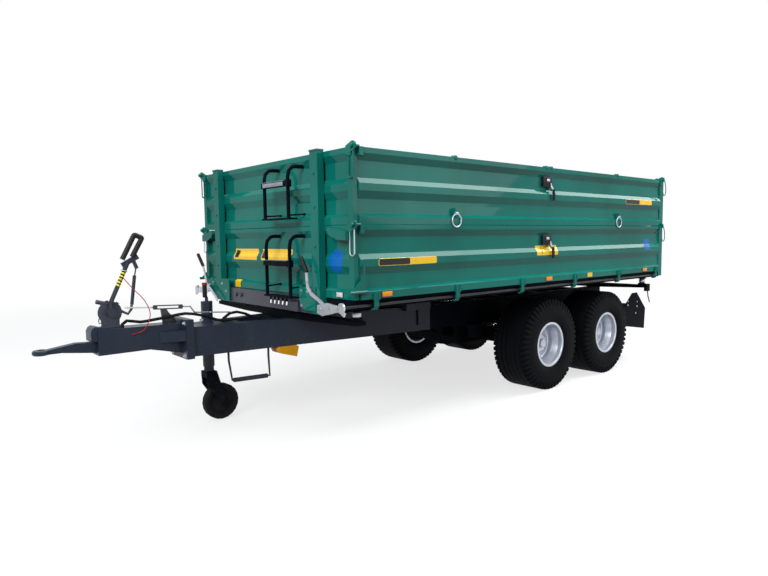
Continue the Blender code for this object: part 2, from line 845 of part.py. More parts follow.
def suspension(side):
    """Two leaf springs in line, hung from three hangers below the rail."""
    sign = SIDES[side]
    low, high = span(sign * (SPRING_X - SPRING_WIDTH / 2), sign * (SPRING_X + SPRING_WIDTH / 2))
    seat = TYRE_R + AXLE_BEAM / 2 + FIT
    clamp_x = (low - 0.008, high + 0.008)
    crown = seat + SPRING_SEAT + SPRING_LEAVES * SPRING_LEAF
    pieces = []
    for middle in AXLES.values():
        pieces.append(leaf_pack(middle, seat, low, high))
        clamp_y = (middle - 0.060, middle + 0.060)
        pieces.append(box(clamp_x, clamp_y, (seat, seat + SPRING_SEAT + 0.006)))
        pieces.append(box(clamp_x, clamp_y, (crown - 0.006, crown + 0.024)))
    middle_half = (AXLE_SPACING - 2 * SPRING_REACH) / 2 + HANGER_LAP
    hangers = (
        (AXLES["front"] - SPRING_REACH, HANGER_HALF),
        ((AXLES["front"] + AXLES["rear"]) / 2, middle_half),
        (AXLES["rear"] + SPRING_REACH, HANGER_HALF),
    )
    foot = seat + 0.010
    ledge_x = span(sign * (RAIL_X - RAIL_WIDTH / 2), sign * (SPRING_X + SPRING_WIDTH / 2))
    for y, half in hangers:
        outline = [
            (y - half, RAIL_FOOT - FIT),
            (y + half, RAIL_FOOT - FIT),
            (y + half * 0.6, foot),
            (y - half * 0.6, foot),
        ]
        pieces.append(plate(outline, "X", low - 0.010, high + 0.010))
        pieces.append(box(ledge_x, (y - half, y + half), (RAIL_FOOT - 0.012, RAIL_FOOT - FIT)))
    return part(f"suspension_{side}", "black", pieces)


def axle(which):
    """Square axle beam with a brake drum and a hub spigot at each end."""
    y = AXLES[which]
    beam_end = TYRE_X - TYRE_WIDTH / 2 - 0.020
    half = AXLE_BEAM / 2
    pieces = [box((-beam_end, beam_end), (y - half, y + half), (TYRE_R - half, TYRE_R + half))]
    disc_x = TYRE_X + RIM_OFFSET - RIM_SHEET
    for sign in SIDES.values():
        drum = (sign * (beam_end - 0.030), sign * (disc_x - 0.060))
        pieces.append(rod((drum[0], y, TYRE_R), (drum[1], y, TYRE_R), DRUM_R, sides=16))
        pieces.append(rod((drum[1] - sign * 0.010, y, TYRE_R), (sign * (disc_x - FIT), y, TYRE_R), HUB_R, sides=16))
    return part(f"axle_{which}", "black", pieces, smooth=True)


# Wheels


def tyre_profile():
    """(radius, along) points of the tyre's section, from the top of the outer side round to the inner bead."""
    half = TYRE_WIDTH / 2
    seat = RIM_WIDTH / 2
    outer = [
        (BEAD_R, seat - 0.0185),
        (RIM_FLANGE_R, seat - 0.0070),
        (RIM_FLANGE_R + 0.002, seat - 0.0030),
        (RIM_FLANGE_R + 0.014, half - 0.014),
        (RIM_FLANGE_R + 0.060, half - 0.002),
        (TYRE_R - 0.100, half),
        (TYRE_R - 0.040, half - 0.008),
        (TYRE_R - 0.010, half - 0.016),
        (TYRE_R, half - 0.030),
    ]
    inner = [(radius, -along) for radius, along in reversed(outer)]
    cavity = [(BEAD_R + 0.030, 0.080 - half), (BEAD_R + 0.030, half - 0.080)]
    return outer + inner + cavity


def rim_profile():
    """Section of the wheel: flanges, stepped well, disc, hub boss and cap."""
    half = RIM_WIDTH / 2
    bead = BEAD_R - FIT - 0.001
    well = WELL_R + 0.008
    disc = RIM_OFFSET
    return [
        (RIM_FLANGE_R, half),
        (RIM_FLANGE_R, half - 0.006),
        (bead, half - 0.018),
        (bead - 0.002, half - 0.092),
        (well, half - 0.103),
        (well, 0.062 - half),
        (bead, 0.046 - half),
        (bead, 0.018 - half),
        (RIM_FLANGE_R, 0.006 - half),
        (RIM_FLANGE_R, -half),
        (bead - 0.006, 0.004 - half),
        (bead - 0.008, 0.036 - half),
        (WELL_R, 0.050 - half),
        (WELL_R, disc - RIM_SHEET),
        (0.0, disc - RIM_SHEET),
        (0.0, HUB_CAP_REACH),
        (HUB_CAP_R - 0.006, HUB_CAP_REACH),
        (HUB_CAP_R, HUB_CAP_REACH - 0.006),
        (HUB_CAP_R, BOSS_REACH),
        (BOSS_R, BOSS_REACH),
        (BOSS_R, disc),
        (WELL_R, disc),
        (WELL_R, half - 0.094),
        (bead - 0.007, half - 0.085),
        (bead - 0.004, half - 0.004),
    ]


def wheel(which, side):
    centre = (SIDES[side] * TYRE_X, AXLES[which], TYRE_R)
    outward = (SIDES[side], 0, 0)
    tyre = turned(tyre_profile(), centre, outward, WHEEL_STEPS)
    rim = turned_disc(rim_profile(), centre, outward, WHEEL_STEPS)
    return [
        part(f"tyre_{which}_{side}", "rubber", [tyre], smooth=True),
        part(f"rim_{which}_{side}", "silver", [rim], smooth=True),
    ]


# Handbrake and drawbar fittings

QUADRANT_Z = HOUSING_TOP + QUADRANT_RISE
LEVER_TOP = (-1.110, QUADRANT_Z + 0.345)


def from_quadrant(y, up, x=QUADRANT_X):
    """A place given by its distance along from the body's front face and its height above the lever's pivot."""
    return (x, y, QUADRANT_Z + up)


def handbrake_quadrant():
    """Toothed quadrant on its foot, with the front stop, the rear pull arm and a cable hook."""
    foot_z = housing_top(QUADRANT_Y - 0.070) + FIT
    centre = (QUADRANT_Y, QUADRANT_Z)
    teeth = [
        point
        for i in range(TEETH)
        for point in arc(centre, QUADRANT_R + TOOTH * (i % 2), 30 + 120 / TEETH * i, 30 + 120 / TEETH * (i + 1), 1)
    ]
    feet = [(QUADRANT_Y - 0.060, foot_z + WELD), (QUADRANT_Y + 0.060, foot_z + WELD)]
    outline = arc(centre, QUADRANT_R, -40, 25, 4) + teeth + arc(centre, QUADRANT_R, 155, 220, 4) + feet
    half = QUADRANT_SHEET / 2
    disc = plate(outline, "X", QUADRANT_X - half, QUADRANT_X + half)
    foot = box((-0.050, 0.010), (QUADRANT_Y - 0.070, QUADRANT_Y + 0.080), (foot_z, foot_z + 0.010))
    arm = [(-1.088, 0.041), (-1.089, 0.013), (-1.115, -0.021), (-1.162, 0.005)]
    hook = [(-1.294, -0.028), (-1.312, -0.044), (-1.310, -0.072), (-1.284, -0.061), (-1.262, -0.082)]
    pieces = [
        disc,
        foot,
        tube([from_quadrant(*place) for place in arm], 0.010),
        tube([from_quadrant(*place) for place in hook], 0.004, sides=1),
        rod(from_quadrant(-1.240, 0.058, -0.026), from_quadrant(-1.322, 0.081, -0.026), 0.015, sides=12),
    ]
    return part("handbrake_quadrant", "anthracite", pieces)


def handbrake_lever():
    """Lever with its loop grip, the pawl plate below it and the gas strut."""
    x = LEVER_X
    grip_sheet = (x - 0.010, x + 0.010)
    shaft = [from_quadrant(QUADRANT_Y, 0.0, x), from_quadrant(QUADRANT_Y + 0.004, 0.080, x), (x, *LEVER_TOP)]
    loop = [(-1.146, 0.367), (-1.057, 0.537), (-1.005, 0.515), (-1.078, 0.383)]
    pieces = [
        tube(shaft, LEVER_R),
        rod((QUADRANT_X + QUADRANT_SHEET / 2 + FIT, QUADRANT_Y, QUADRANT_Z), from_quadrant(QUADRANT_Y, 0.0, 0.034), 0.030),
        tube([from_quadrant(*place, x) for place in loop], GRIP_R),
        flat_bar([from_quadrant(y, up)[1:] for y, up in ((-1.150, 0.325), (-1.040, 0.386))], 0.034, "X", *grip_sheet),
        flat_bar([from_quadrant(y, up)[1:] for y, up in ((-1.075, 0.365), (-1.050, 0.300))], 0.022, "X", *grip_sheet),
        rod(from_quadrant(-1.054, 0.310, x), from_quadrant(-1.070, 0.240, x), 0.005, sides=8),
        rod(from_quadrant(-1.068, 0.252, x), from_quadrant(-1.096, 0.046, x), STRUT_R, sides=12),
    ]
    return part("handbrake_lever", "anthracite", pieces)


def brake_rod():
    """Pull rod with its slotted turnbuckle on a gusset bracket, and the wire link behind it."""
    foot = housing_top(-0.880) + FIT
    outline = [
        (-0.880, foot),
        (-0.775, foot),
        (-0.790, HOUSING_TOP + 0.023),
        (-0.836, HOUSING_TOP + 0.073),
        (-0.856, QUADRANT_Z + 0.010),
        (-0.893, QUADRANT_Z + 0.010),
    ]
    buckle = [from_quadrant(y, up)[1:] for y, up in ((-0.942, 0.012), (-0.728, 0.001))]
    slot = [from_quadrant(y, up)[1:] for y, up in ((-0.916, 0.0107), (-0.754, 0.0023))]
    front = [(-1.140, 0.027), (-0.936, 0.012)]
    rear = [(-0.734, 0.001), (-0.667, -0.004), (-0.634, -0.051), (-0.510, -0.062)]
    link = [(-0.012, -0.510, -0.062), (-0.012, -0.337, -0.076), (0.012, -0.337, -0.076), (0.012, -0.510, -0.062)]
    pieces = [
        plate(outline, "X", -0.006, 0.006),
        flat_bar(buckle, 2 * BUCKLE_HALF, "X", -0.010, 0.010),
        tube([from_quadrant(y, up, 0.0) for y, up in front], BRAKE_ROD_R),
        tube([from_quadrant(y, up, 0.0) for y, up in rear], BRAKE_ROD_R),
        tube([from_quadrant(y, up, x) for x, y, up in link], 0.004, closed=True),
    ]
    return part("brake_rod", "zinc", pieces, cuts=[flat_bar(slot, BUCKLE_HALF, "X", -0.020, 0.020)])


def drawbar_hose():
    """Two hoses along the drawbar, clipped together where they meet on the bridge plate."""
    bridge = RAIL_TOP - WELD + FIT
    lower_bridge = RAIL_FOOT + WELD + BRIDGE_SHEET + FIT
    lying = bridge + HOSE_R + WELD
    front = [
        (0.024, -1.170, housing_top(-1.170) + FIT),
        (0.024, -1.170, HOUSING_TOP + 0.018),
        (0.024, -1.140, HOUSING_TOP + 0.040),
        (0.024, -1.048, HOUSING_TOP + 0.022),
        (0.024, -0.962, HOUSING_TOP + 0.028),
        (0.024, -0.868, HOUSING_TOP + 0.037),
        (0.024, -0.716, HOUSING_TOP + 0.052),
        (0.024, -0.604, HOUSING_TOP + 0.030),
        (0.024, -0.545, HOUSING_TOP + 0.013),
        (0.024, -0.472, HOUSING_TOP - 0.018),
        (0.024, -0.420, lying + 0.001),
        (0.024, -0.330, lying),
    ]
    rear = [
        (-0.032, -0.385, bridge),
        (-0.032, -0.385, bridge + 0.022),
        (-0.032, -0.329, RAIL_TOP + 0.056),
        (-0.032, -0.268, RAIL_TOP + 0.061),
        (-0.032, -0.198, RAIL_TOP + 0.041),
        (-0.032, -0.127, RAIL_TOP + 0.006),
        (-0.032, -0.045, RAIL_TOP - 0.019),
        (-0.032, 0.020, RAIL_TOP - 0.080),
        (-0.032, 0.050, lower_bridge + 0.050),
        (-0.032, 0.050, lower_bridge),
    ]
    pieces = [tube(smooth_route(route, 0.050), HOSE_R, sides=1) for route in (front, rear)]
    pieces.append(rod((0.024, -0.385, lying), (-0.032, -0.385, lying), 0.006, sides=8))
    return part("drawbar_hose", "rubber", pieces, smooth=True)


def step_loop():
    """Bent round bar below the left drawbar beam with a thicker tread."""
    z = RAIL_FOOT - FIT
    tread_z = RAIL_FOOT - STEP_DROP
    front, rear = -0.430, -0.110
    x_front, x_rear = vee_x(front), vee_x(rear)
    route = [
        (x_front, front, z),
        (x_front, front, z - 0.070),
        (x_front + 0.030, front + 0.010, tread_z),
        (x_rear + 0.030, rear - 0.010, tread_z),
        (x_rear, rear, z - 0.070),
        (x_rear, rear, z),
    ]
    tread = rod((x_front + 0.032, front + 0.020, tread_z), (x_rear + 0.028, rear - 0.030, tread_z), 0.018, sides=12)
    return part("step_loop", "steel_blue", [tube(route, 0.009), tread])


def wheel_chocks():
    """Two wedge chocks side by side in a holder below the left drawbar beam."""
    z = RAIL_FOOT - FIT
    start = -0.060
    x = vee_x(0.0)
    outline = [
        (start, z - 0.012),
        (start + CHOCK_LENGTH, z - 0.012),
        (start + CHOCK_LENGTH - 0.020, z - 0.095),
        (start + 0.020, z - 0.050),
    ]
    wedges = [plate(outline, "X", low, low + CHOCK_WIDTH) for low in (x - 0.070, x + 0.005)]
    holder = box((x - 0.070, x + 0.060), (start + 0.010, start + CHOCK_LENGTH - 0.020), (z - 0.020, z))
    return part("wheel_chocks", "yellow", [holder, *wedges])


# Jack


def jack_sleeve():
    """Outer tube, the clamp that holds it to the right drawbar beam, and the screw with its crank."""
    lid = JACK_SLEEVE_TOP - 0.012
    body = turned(
        [
            (0.0, JACK_SLEEVE_TOP),
            (JACK_SLEEVE_R, JACK_SLEEVE_TOP),
            (JACK_SLEEVE_R, JACK_SLEEVE_FOOT),
            (LEG_BORE_R, JACK_SLEEVE_FOOT),
            (LEG_BORE_R, lid),
            (0.0, lid),
        ],
        (JACK_X, JACK_Y, 0),
        (0, 0, 1),
        steps=ROUND_STEPS,
    )
    front, rear = JACK_Y - 0.050, JACK_Y + 0.050
    outer = VEE_BEAM_WIDTH / 2 + FIT
    outline = [(JACK_X, front), (-vee_x(front) - outer, front), (-vee_x(rear) - outer, rear), (JACK_X, rear)]
    clamp_z = (RAIL_FOOT + 0.040, RAIL_FOOT + 0.180)
    bore = [(0.0, clamp_z[1] + 0.020), (LEG_BORE_R, clamp_z[1] + 0.020), (LEG_BORE_R, clamp_z[0] - 0.020), (0.0, clamp_z[0] - 0.020)]
    crank_foot = JACK_SLEEVE_TOP + 0.035
    pieces = [
        body,
        plate(outline, "Z", *clamp_z),
        rod((JACK_X, JACK_Y, lid + 0.004), (JACK_X, JACK_Y, crank_foot), 0.013, sides=12),
        rod((JACK_X - 0.005, JACK_Y - 0.008, crank_foot - 0.004), (JACK_X - 0.005, JACK_Y - 0.010, crank_foot + 0.100), 0.017, sides=12),
        rod((JACK_X - 0.005, JACK_Y - 0.010, crank_foot + 0.098), (JACK_X - 0.005, JACK_Y - 0.010, crank_foot + 0.116), 0.020, sides=12),
    ]
    cut = turned(bore, (JACK_X, JACK_Y, 0), (0, 0, 1), steps=ROUND_STEPS)
    return part("jack_sleeve", "steel_blue", pieces, cuts=[cut])


def jack_leg():
    radius = LEG_BORE_R - RAM_GAP
    top = JACK_SLEEVE_TOP - 0.085
    profile = [(0.0, top), (radius, top), (radius, JACK_LEG_FOOT), (0.0, JACK_LEG_FOOT)]
    leg = turned(profile, (JACK_X, JACK_Y, 0), (0, 0, 1), steps=ROUND_STEPS)
    return part("jack_leg", "steel_blue", [leg], smooth=True)


def jack_fork():
    """Swivelling fork with a cheek on each side of the wheel."""
    wheel_y = JACK_Y + JACK_TRAIL
    half = JACK_WHEEL_WIDTH / 2 + 0.008
    top = JACK_LEG_FOOT - FIT
    outside = half + JACK_CHEEK
    outline = [
        (JACK_Y - 0.045, top - 0.006),
        (JACK_Y + 0.045, top - 0.006),
        (wheel_y + 0.030, JACK_WHEEL_R + 0.010),
        (wheel_y + 0.010, JACK_WHEEL_R - 0.030),
        (wheel_y - 0.020, JACK_WHEEL_R - 0.010),
        (JACK_Y - 0.040, top - 0.110),
    ]
    pieces = [box((JACK_X - outside, JACK_X + outside), (JACK_Y - 0.045, JACK_Y + 0.045), (top - 0.050, top))]
    pieces += [plate(outline, "X", *span(JACK_X + sign * half, JACK_X + sign * outside)) for sign in SIDES.values()]
    reach = outside + 0.006
    pin = rod((JACK_X - reach, wheel_y, JACK_WHEEL_R), (JACK_X + reach, wheel_y, JACK_WHEEL_R), JACK_PIN_R, sides=12)
    return part("jack_fork", "black", [*pieces, pin])


def jack_wheel():
    half = JACK_WHEEL_WIDTH / 2
    bore = JACK_PIN_R + 0.0004
    profile = [
        (JACK_WHEEL_R - 0.012, half),
        (JACK_WHEEL_R, half - 0.014),
        (JACK_WHEEL_R, 0.014 - half),
        (JACK_WHEEL_R - 0.012, -half),
        (JACK_WHEEL_R - 0.045, 0.006 - half),
        (JACK_WHEEL_R - 0.050, 0.020 - half),
        (0.030, 0.020 - half),
        (0.028, 0.002 - half),
        (bore, 0.002 - half),
        (bore, half - 0.002),
        (0.028, half - 0.002),
        (0.030, half - 0.020),
        (JACK_WHEEL_R - 0.050, half - 0.020),
        (JACK_WHEEL_R - 0.045, half - 0.006),
    ]
    centre = (JACK_X, JACK_Y + JACK_TRAIL, JACK_WHEEL_R)
    return part("jack_wheel", "rubber", [turned(profile, centre, (1, 0, 0), steps=ROUND_STEPS)], smooth=True)


# Tipping ram


def ram_radius(stage):
    """Outer radius of a stage; 0 is the barrel."""
    return RAM_BARREL_R - stage * (RAM_WALL + RAM_GAP)


def ram_cradle():
    """Frame between the rails with two side plates that carry the barrel's trunnions."""
    bar = 0.045
    half_gap = 0.150
    inner = RAIL_X - RAIL_WIDTH / 2 - FIT
    z = (RAM_PIVOT_Z - 0.035, RAM_PIVOT_Z + 0.035)
    run = (RAM_Y - half_gap - bar, RAM_Y + half_gap + bar)
    cheek_x = RAM_BARREL_R + 0.020
    pieces = []
    for sign in SIDES.values():
        bar_y = span(RAM_Y + sign * half_gap, RAM_Y + sign * (half_gap + bar))
        pieces.append(box((0.030 - inner, inner - 0.030), bar_y, z))
        pieces.append(box(span(sign * cheek_x, sign * (cheek_x + 0.020)), run, z))
        pieces.append(box(span(sign * (inner - 0.040), sign * inner), run, (z[0], RAIL_FOOT + 0.120)))
    reach = cheek_x + 0.040
    bore = rod((-reach, RAM_Y, RAM_PIVOT_Z), (reach, RAM_Y, RAM_PIVOT_Z), RAM_PIN_R + 0.001, sides=20)
    return part("ram_cradle", "black", pieces, cuts=[bore])


def ram_barrel():
    outer = RAM_BARREL_R
    top = RAM_FOOT + RAM_BARREL_LENGTH
    profile = [
        (outer, top),
        (outer, RAM_FOOT),
        (0.0, RAM_FOOT),
        (0.0, RAM_FOOT + RAM_BASE),
        (outer - RAM_WALL, RAM_FOOT + RAM_BASE),
        (outer - RAM_WALL, top),
    ]
    pins = [
        rod((sign * (outer - 0.005), RAM_Y, RAM_PIVOT_Z), (sign * (outer + 0.045), RAM_Y, RAM_PIVOT_Z), RAM_PIN_R, sides=20)
        for sign in SIDES.values()
    ]
    body = turned_disc(profile, (0, RAM_Y, 0), (0, 0, 1), ROUND_STEPS)
    return part("ram_barrel", "black", [body, *pins], smooth=True)


def ram_stage(stage):
    """One stage of the ram; the last is solid and ends in a crown below the head plate."""
    outer = ram_radius(stage)
    foot = RAM_FOOT + RAM_BASE + FIT
    if stage < RAM_STAGES:
        top = RAM_FOOT + RAM_BARREL_LENGTH + stage * RAM_STAGE_STEP
        profile = [(outer, top), (outer, foot), (outer - RAM_WALL, foot), (outer - RAM_WALL, top)]
    else:
        head = BEARER_FOOT - FIT
        profile = [
            (0.0, head),
            (outer * 0.55, head),
            (outer * 0.80, head - RAM_CROWN),
            (outer, head - RAM_CROWN),
            (outer, foot),
            (0.0, foot),
        ]
    return part(f"ram_stage_{stage}", "chrome", [turned(profile, (0, RAM_Y, 0), (0, 0, 1), ROUND_STEPS)], smooth=True)


# Tipping body


def bed_floor():
    """Floor plate, rim rails, cross bearers, the two long bearers, ball sockets and the ram's head plate."""
    inner_x = SIDE - WALL_THICKNESS - FIT
    front = WALL_THICKNESS + FIT
    rear = BED_LENGTH - WALL_THICKNESS - FIT
    rail_z = (RIM_FOOT, FLOOR_UNDER - 0.010)
    beam_top = FLOOR_UNDER - WELD
    cross_z = (FLOOR_UNDER - CROSS_BEARER_DEPTH, beam_top)
    skirt_x = inner_x - 0.010
    pieces = [
        box((-inner_x, inner_x), (front, rear), (FLOOR_UNDER, FLOOR_TOP)),
        box((-skirt_x, skirt_x), (front + 0.010, rear - 0.010), (FLOOR_UNDER - 0.012, FLOOR_UNDER + WELD)),
        box((-RIM_OUT, RIM_OUT), (0.0, RIM_RAIL), rail_z),
        box((-RIM_OUT, RIM_OUT), (FLOOR_END - RIM_RAIL, FLOOR_END), rail_z),
    ]
    first, last = 0.520, BED_LENGTH - 0.360
    cross_x = RIM_OUT - 0.020
    for i in range(CROSS_BEARERS):
        y = first + (last - first) * i / (CROSS_BEARERS - 1)
        pieces.append(box((-cross_x, cross_x), (y - CROSS_BEARER_WIDTH / 2, y + CROSS_BEARER_WIDTH / 2), cross_z))
    recesses = []
    half = BEARER_WIDTH / 2
    for sign in SIDES.values():
        pieces.append(box(span(sign * (RIM_OUT - RIM_RAIL), sign * RIM_OUT), (0.001, FLOOR_END - 0.001), rail_z))
        bearer_y = (0.200, BED_LENGTH - 0.310)
        pieces.append(box(span(sign * (BEARER_X - half), sign * (BEARER_X + half)), bearer_y, (BEARER_FOOT, beam_top)))
        tie_y = RAM_Y + sign * (HEAD_PLATE_HALF - 0.005)
        pieces.append(box((-BEARER_X, BEARER_X), (tie_y - 0.030, tie_y + 0.030), cross_z))
        for y in (PIVOT_FRONT, PIVOT_REAR):
            x = sign * PIVOT_X
            pieces.append(rod((x, y, PIVOT_Z + CUP_LIP), (x, y, RIM_FOOT + 0.020), CUP_R))
            pieces.append(box((x - 0.060, x + 0.060), (y - 0.050, y + 0.050), (RIM_FOOT + 0.001, beam_top)))
            recesses.append(rod((x, y, PIVOT_Z), (x, y, PIVOT_Z + BALL_R + FIT), cup_bore()))
    reach = HEAD_PLATE_HALF
    pieces.append(box((-reach, reach), (RAM_Y - reach, RAM_Y + reach), (BEARER_FOOT, beam_top)))
    return part("bed_floor", "black", pieces, cuts=recesses)


def tier_outline(tier, outer, inward):
    """Section of one wall tier: outer is the outer plane, inward is +1 or -1 along the wall's thickness."""
    foot, top = TIER_FEET[tier], TIER_TOPS[tier]
    run = [(outer + inward * depth, foot + height) for depth, height in TIER_FACE]
    return run + [(outer, top), (outer + inward * WALL_THICKNESS, top), (outer + inward * WALL_THICKNESS, foot)]


def face_depth(tier, low, high):
    """How far the tier's outer face lies behind its outer plane, at its nearest between two heights."""
    heights = [low - TIER_FEET[tier], high - TIER_FEET[tier]]
    depths = [depth for depth, height in TIER_FACE if heights[0] < height < heights[1]]
    for z in heights:
        for (depth, height), (next_depth, next_height) in zip(TIER_FACE, TIER_FACE[1:]):
            if height <= z <= next_height:
                depths.append(depth + (next_depth - depth) * (z - height) / (next_height - height))
    return min(depths, default=0.0)


def hinge_z(tier):
    return TIER_TOPS[tier] + TIER_GAP / 2


def lug(across, x, y, z, low, high):
    """Round-headed lug plate with its pin hole; across is the pin's direction."""
    centre = (x, z) if across == "Y" else (y, z)
    inward = -math.copysign(1, x) if across == "Y" else -1
    turns = [math.radians(a) for a in range(-60, 121, 30)]
    head = [(centre[0] - inward * LUG_R * math.cos(a), centre[1] + LUG_R * math.sin(a)) for a in turns]
    back = centre[0] + inward * LUG_ROOT
    return plate([*head, (back, centre[1] + 0.004), (back, centre[1] - LUG_HEIGHT)], across, low, high)


def lug_hole(across, x, y, z, low, high):
    start = (x, low - 0.010, z) if across == "Y" else (low - 0.010, y, z)
    end = (x, high + 0.010, z) if across == "Y" else (high + 0.010, y, z)
    return rod(start, end, HINGE_PIN_R + 0.001, sides=10)


def front_wall(tier):
    """Fixed front wall tier between its corner posts, with the lugs that carry the side walls."""
    post_in = POST_FACE - FRONT_POST_WIDTH
    foot = TIER_FEET[tier]
    top = TIER_TOPS[tier]
    pieces = [plate(tier_outline(tier, 0.0, 1), "X", -post_in - WELD, post_in + WELD)]
    cuts = []
    z = hinge_z(tier)
    for sign in SIDES.values():
        pieces.append(box(span(sign * post_in, sign * POST_FACE), (0.001, FRONT_POST), (foot, top)))
        spread = (-LUG_THICKNESS, -FIT)
        pieces.append(lug("Y", sign * SIDE, 0.0, z, *spread))
        cuts.append(lug_hole("Y", sign * SIDE, 0.0, z, *spread))
        root = span(sign * (POST_FACE - 0.008), sign * (POST_FACE - 0.050))
        pieces.append(box(root, (WELD - LUG_THICKNESS, 0.010), (top - 0.0565, top - 0.004)))
        near, far = sign * (SIDE + 0.002), sign * (SIDE + 0.002 - CLIP_WIDTH)
        ends = [(far, z - 0.040), (far, z - 0.060 - CLIP_LENGTH), (near, z - 0.060 - CLIP_LENGTH), (near, z - 0.029)]
        pieces.append(tube([(x, -0.0068, height) for x, height in ends], CLIP_R, sides=1, closed=True))
        if tier == "lower":
            horn = [(sign * (SIDE + out), z + up) for out, up in HORN]
            pieces.append(plate(horn, "Y", -0.045, 0.010))
    return part(f"front_wall_{tier}", "green", pieces, cuts=cuts)


def stanchion(side):
    """Upright on the front wall with its cap and its foot plate."""
    sign = SIDES[side]
    half = STANCHION_WIDTH / 2
    low, high = span(sign * (STANCHION_X - half), sign * (STANCHION_X + half))
    front = -STANCHION_DEPTH - FIT
    apron_foot = WALL_FOOT - APRON_DROP
    start, end, rise, cut_x, cut_z = FOOT_PLATES[side]
    start, end = sign * STANCHION_X + start, sign * STANCHION_X + end
    foot, top = apron_foot + rise, WALL_FOOT + FOOT_PLATE_RISE
    outline = [(start, top), (start, foot + cut_z), (start + cut_x * 0.3, foot + cut_z * 0.3), (start + cut_x, foot), (end, foot), (end, top)]
    cap = STANCHION_CAP
    pieces = [
        box((low, high), (front, -FIT), (apron_foot + WELD, TOP + cap)),
        box((low - 0.004, high + 0.004), (front - 0.004, -FIT), (TOP + cap - WELD, TOP + cap + 0.010)),
        plate(outline, "Y", front - FOOT_PLATE, front + WELD),
    ]
    return part(f"front_stanchion_{side}", "green", pieces)


def apron():
    """Plate below the front wall between the stanchions, in front of the floor's end rail."""
    reach = STANCHION_X - STANCHION_WIDTH / 2 - FIT
    foot = WALL_FOOT - APRON_DROP
    y = -STANCHION_DEPTH + APRON_SETBACK
    top = WALL_FOOT - WELD
    slots = []
    for i in range(5):
        x = 0.100 + 0.060 * i
        outline = [(x, foot + 0.035), (x + 0.030, foot + 0.035), (x + 0.042, foot + 0.090), (x + 0.012, foot + 0.090)]
        slots.append(plate(outline, "Y", y - 0.010, y + 0.020))
    bent_x = LADDER_X[1] - 0.105, LADDER_X[1] + 0.020
    pieces = [
        box((-reach, reach), (y, y + APRON_SHEET), (foot, top)),
        box((-reach, reach), (y + 0.001, -FIT), (top - 0.008, top - 0.001)),
        box(bent_x, (y - 0.030, y + 0.003), (foot + 0.005, foot + 0.080)),
        *[rod((x, y - 0.015, foot + 0.070), (x, y + 0.003, foot + 0.070), 0.018, sides=12) for x in (-0.470, -0.380)],
    ]
    return part("front_apron", "anthracite", pieces, cuts=slots)


def ladder(tier):
    """Two tubes that curl over to the wall at the top, a flat rung, a foot bar and its struts."""
    foot, top = WALL_FOOT - 0.014, WALL_FOOT + 0.445
    if tier == "upper":
        foot, top = TIER_FEET["upper"] + 0.057, TOP - 0.077
    stand = -LADDER_STANDOFF
    apron_y = APRON_SETBACK - STANCHION_DEPTH - FIT
    seat = face_depth(tier, top - LADDER_R, top + LADDER_R) - FIT
    strut_z = foot + (0.080 if tier == "lower" else 0.032)
    strut_seat = face_depth(tier, strut_z - 0.010, strut_z + 0.010) - FIT
    pieces = []
    for x in LADDER_X:
        curl = [
            (x, stand, foot),
            (x, stand, top - LADDER_CURL),
            (x, stand + 0.010, top - 0.035),
            (x, stand + 0.040, top - 0.006),
            (x, stand + 0.070, top),
            (x, seat, top),
        ]
        pieces.append(tube(curl, LADDER_R))
        pieces.append(rod((x, stand, strut_z - 0.008), (x, strut_seat, strut_z), 0.006, sides=8))
        pieces.append(rod((x, strut_seat - 0.008, strut_z), (x, strut_seat, strut_z), 0.010, sides=10))
    ends = (LADDER_X[0] - RUNG_OVERHANG, LADDER_X[1] + RUNG_OVERHANG - 0.005)
    rung_z = foot + 0.255
    pieces.append(box(ends, (stand - 0.015, min(apron_y, stand + 0.060)), (foot - 0.006, foot + 0.006)))
    pieces.append(box(LADDER_X, (stand - 0.030, stand + 0.005), (rung_z - 0.020, rung_z + 0.020)))
    pieces.append(box((LADDER_X[1] + 0.008, LADDER_X[1] + 0.040), (stand - 0.032, stand + 0.006), (rung_z - 0.026, rung_z + 0.026)))
    return part(f"ladder_{tier}", "black", pieces)


def rear_post(side):
    """Corner post at the rear with lugs for the side and rear walls."""
    sign = SIDES[side]
    inner = POST_FACE - REAR_POST_WIDTH
    front = BED_LENGTH - REAR_POST
    post_z = (WALL_FOOT - REAR_POST_DROP, TOP - 0.012)
    pieces = [box(span(sign * inner, sign * POST_FACE), (front, REAR_FACE), post_z)]
    cuts = []
    side_y = (front + 0.004, front + 0.004 + LUG_THICKNESS)
    back_x = span(sign * (inner + 0.004), sign * (inner + 0.004 + LUG_THICKNESS))
    for tier in TIER_FEET:
        z = hinge_z(tier)
        pieces.append(lug("Y", sign * SIDE, side_y[0], z, *side_y))
        cuts.append(lug_hole("Y", sign * SIDE, side_y[0], z, *side_y))
        pieces.append(lug("X", back_x[0], BED_LENGTH, z, *back_x))
        cuts.append(lug_hole("X", back_x[0], BED_LENGTH, z, *back_x))
    notch_z = (post_z[0] - 0.010, FLOOR_TOP + FIT)
    cuts.append(box(span(0.0, sign * (RIM_OUT + FIT)), (front - 0.010, FLOOR_END + FIT), notch_z))
    return part(f"rear_post_{side}", "green", pieces, cuts=cuts)


def hook_places():
    """Places along the body of the locking hooks, evenly spaced."""
    last = BED_LENGTH - HOOK_INSET - 0.020
    return [HOOK_INSET + (last - HOOK_INSET) * i / (HOOKS - 1) for i in range(HOOKS)]


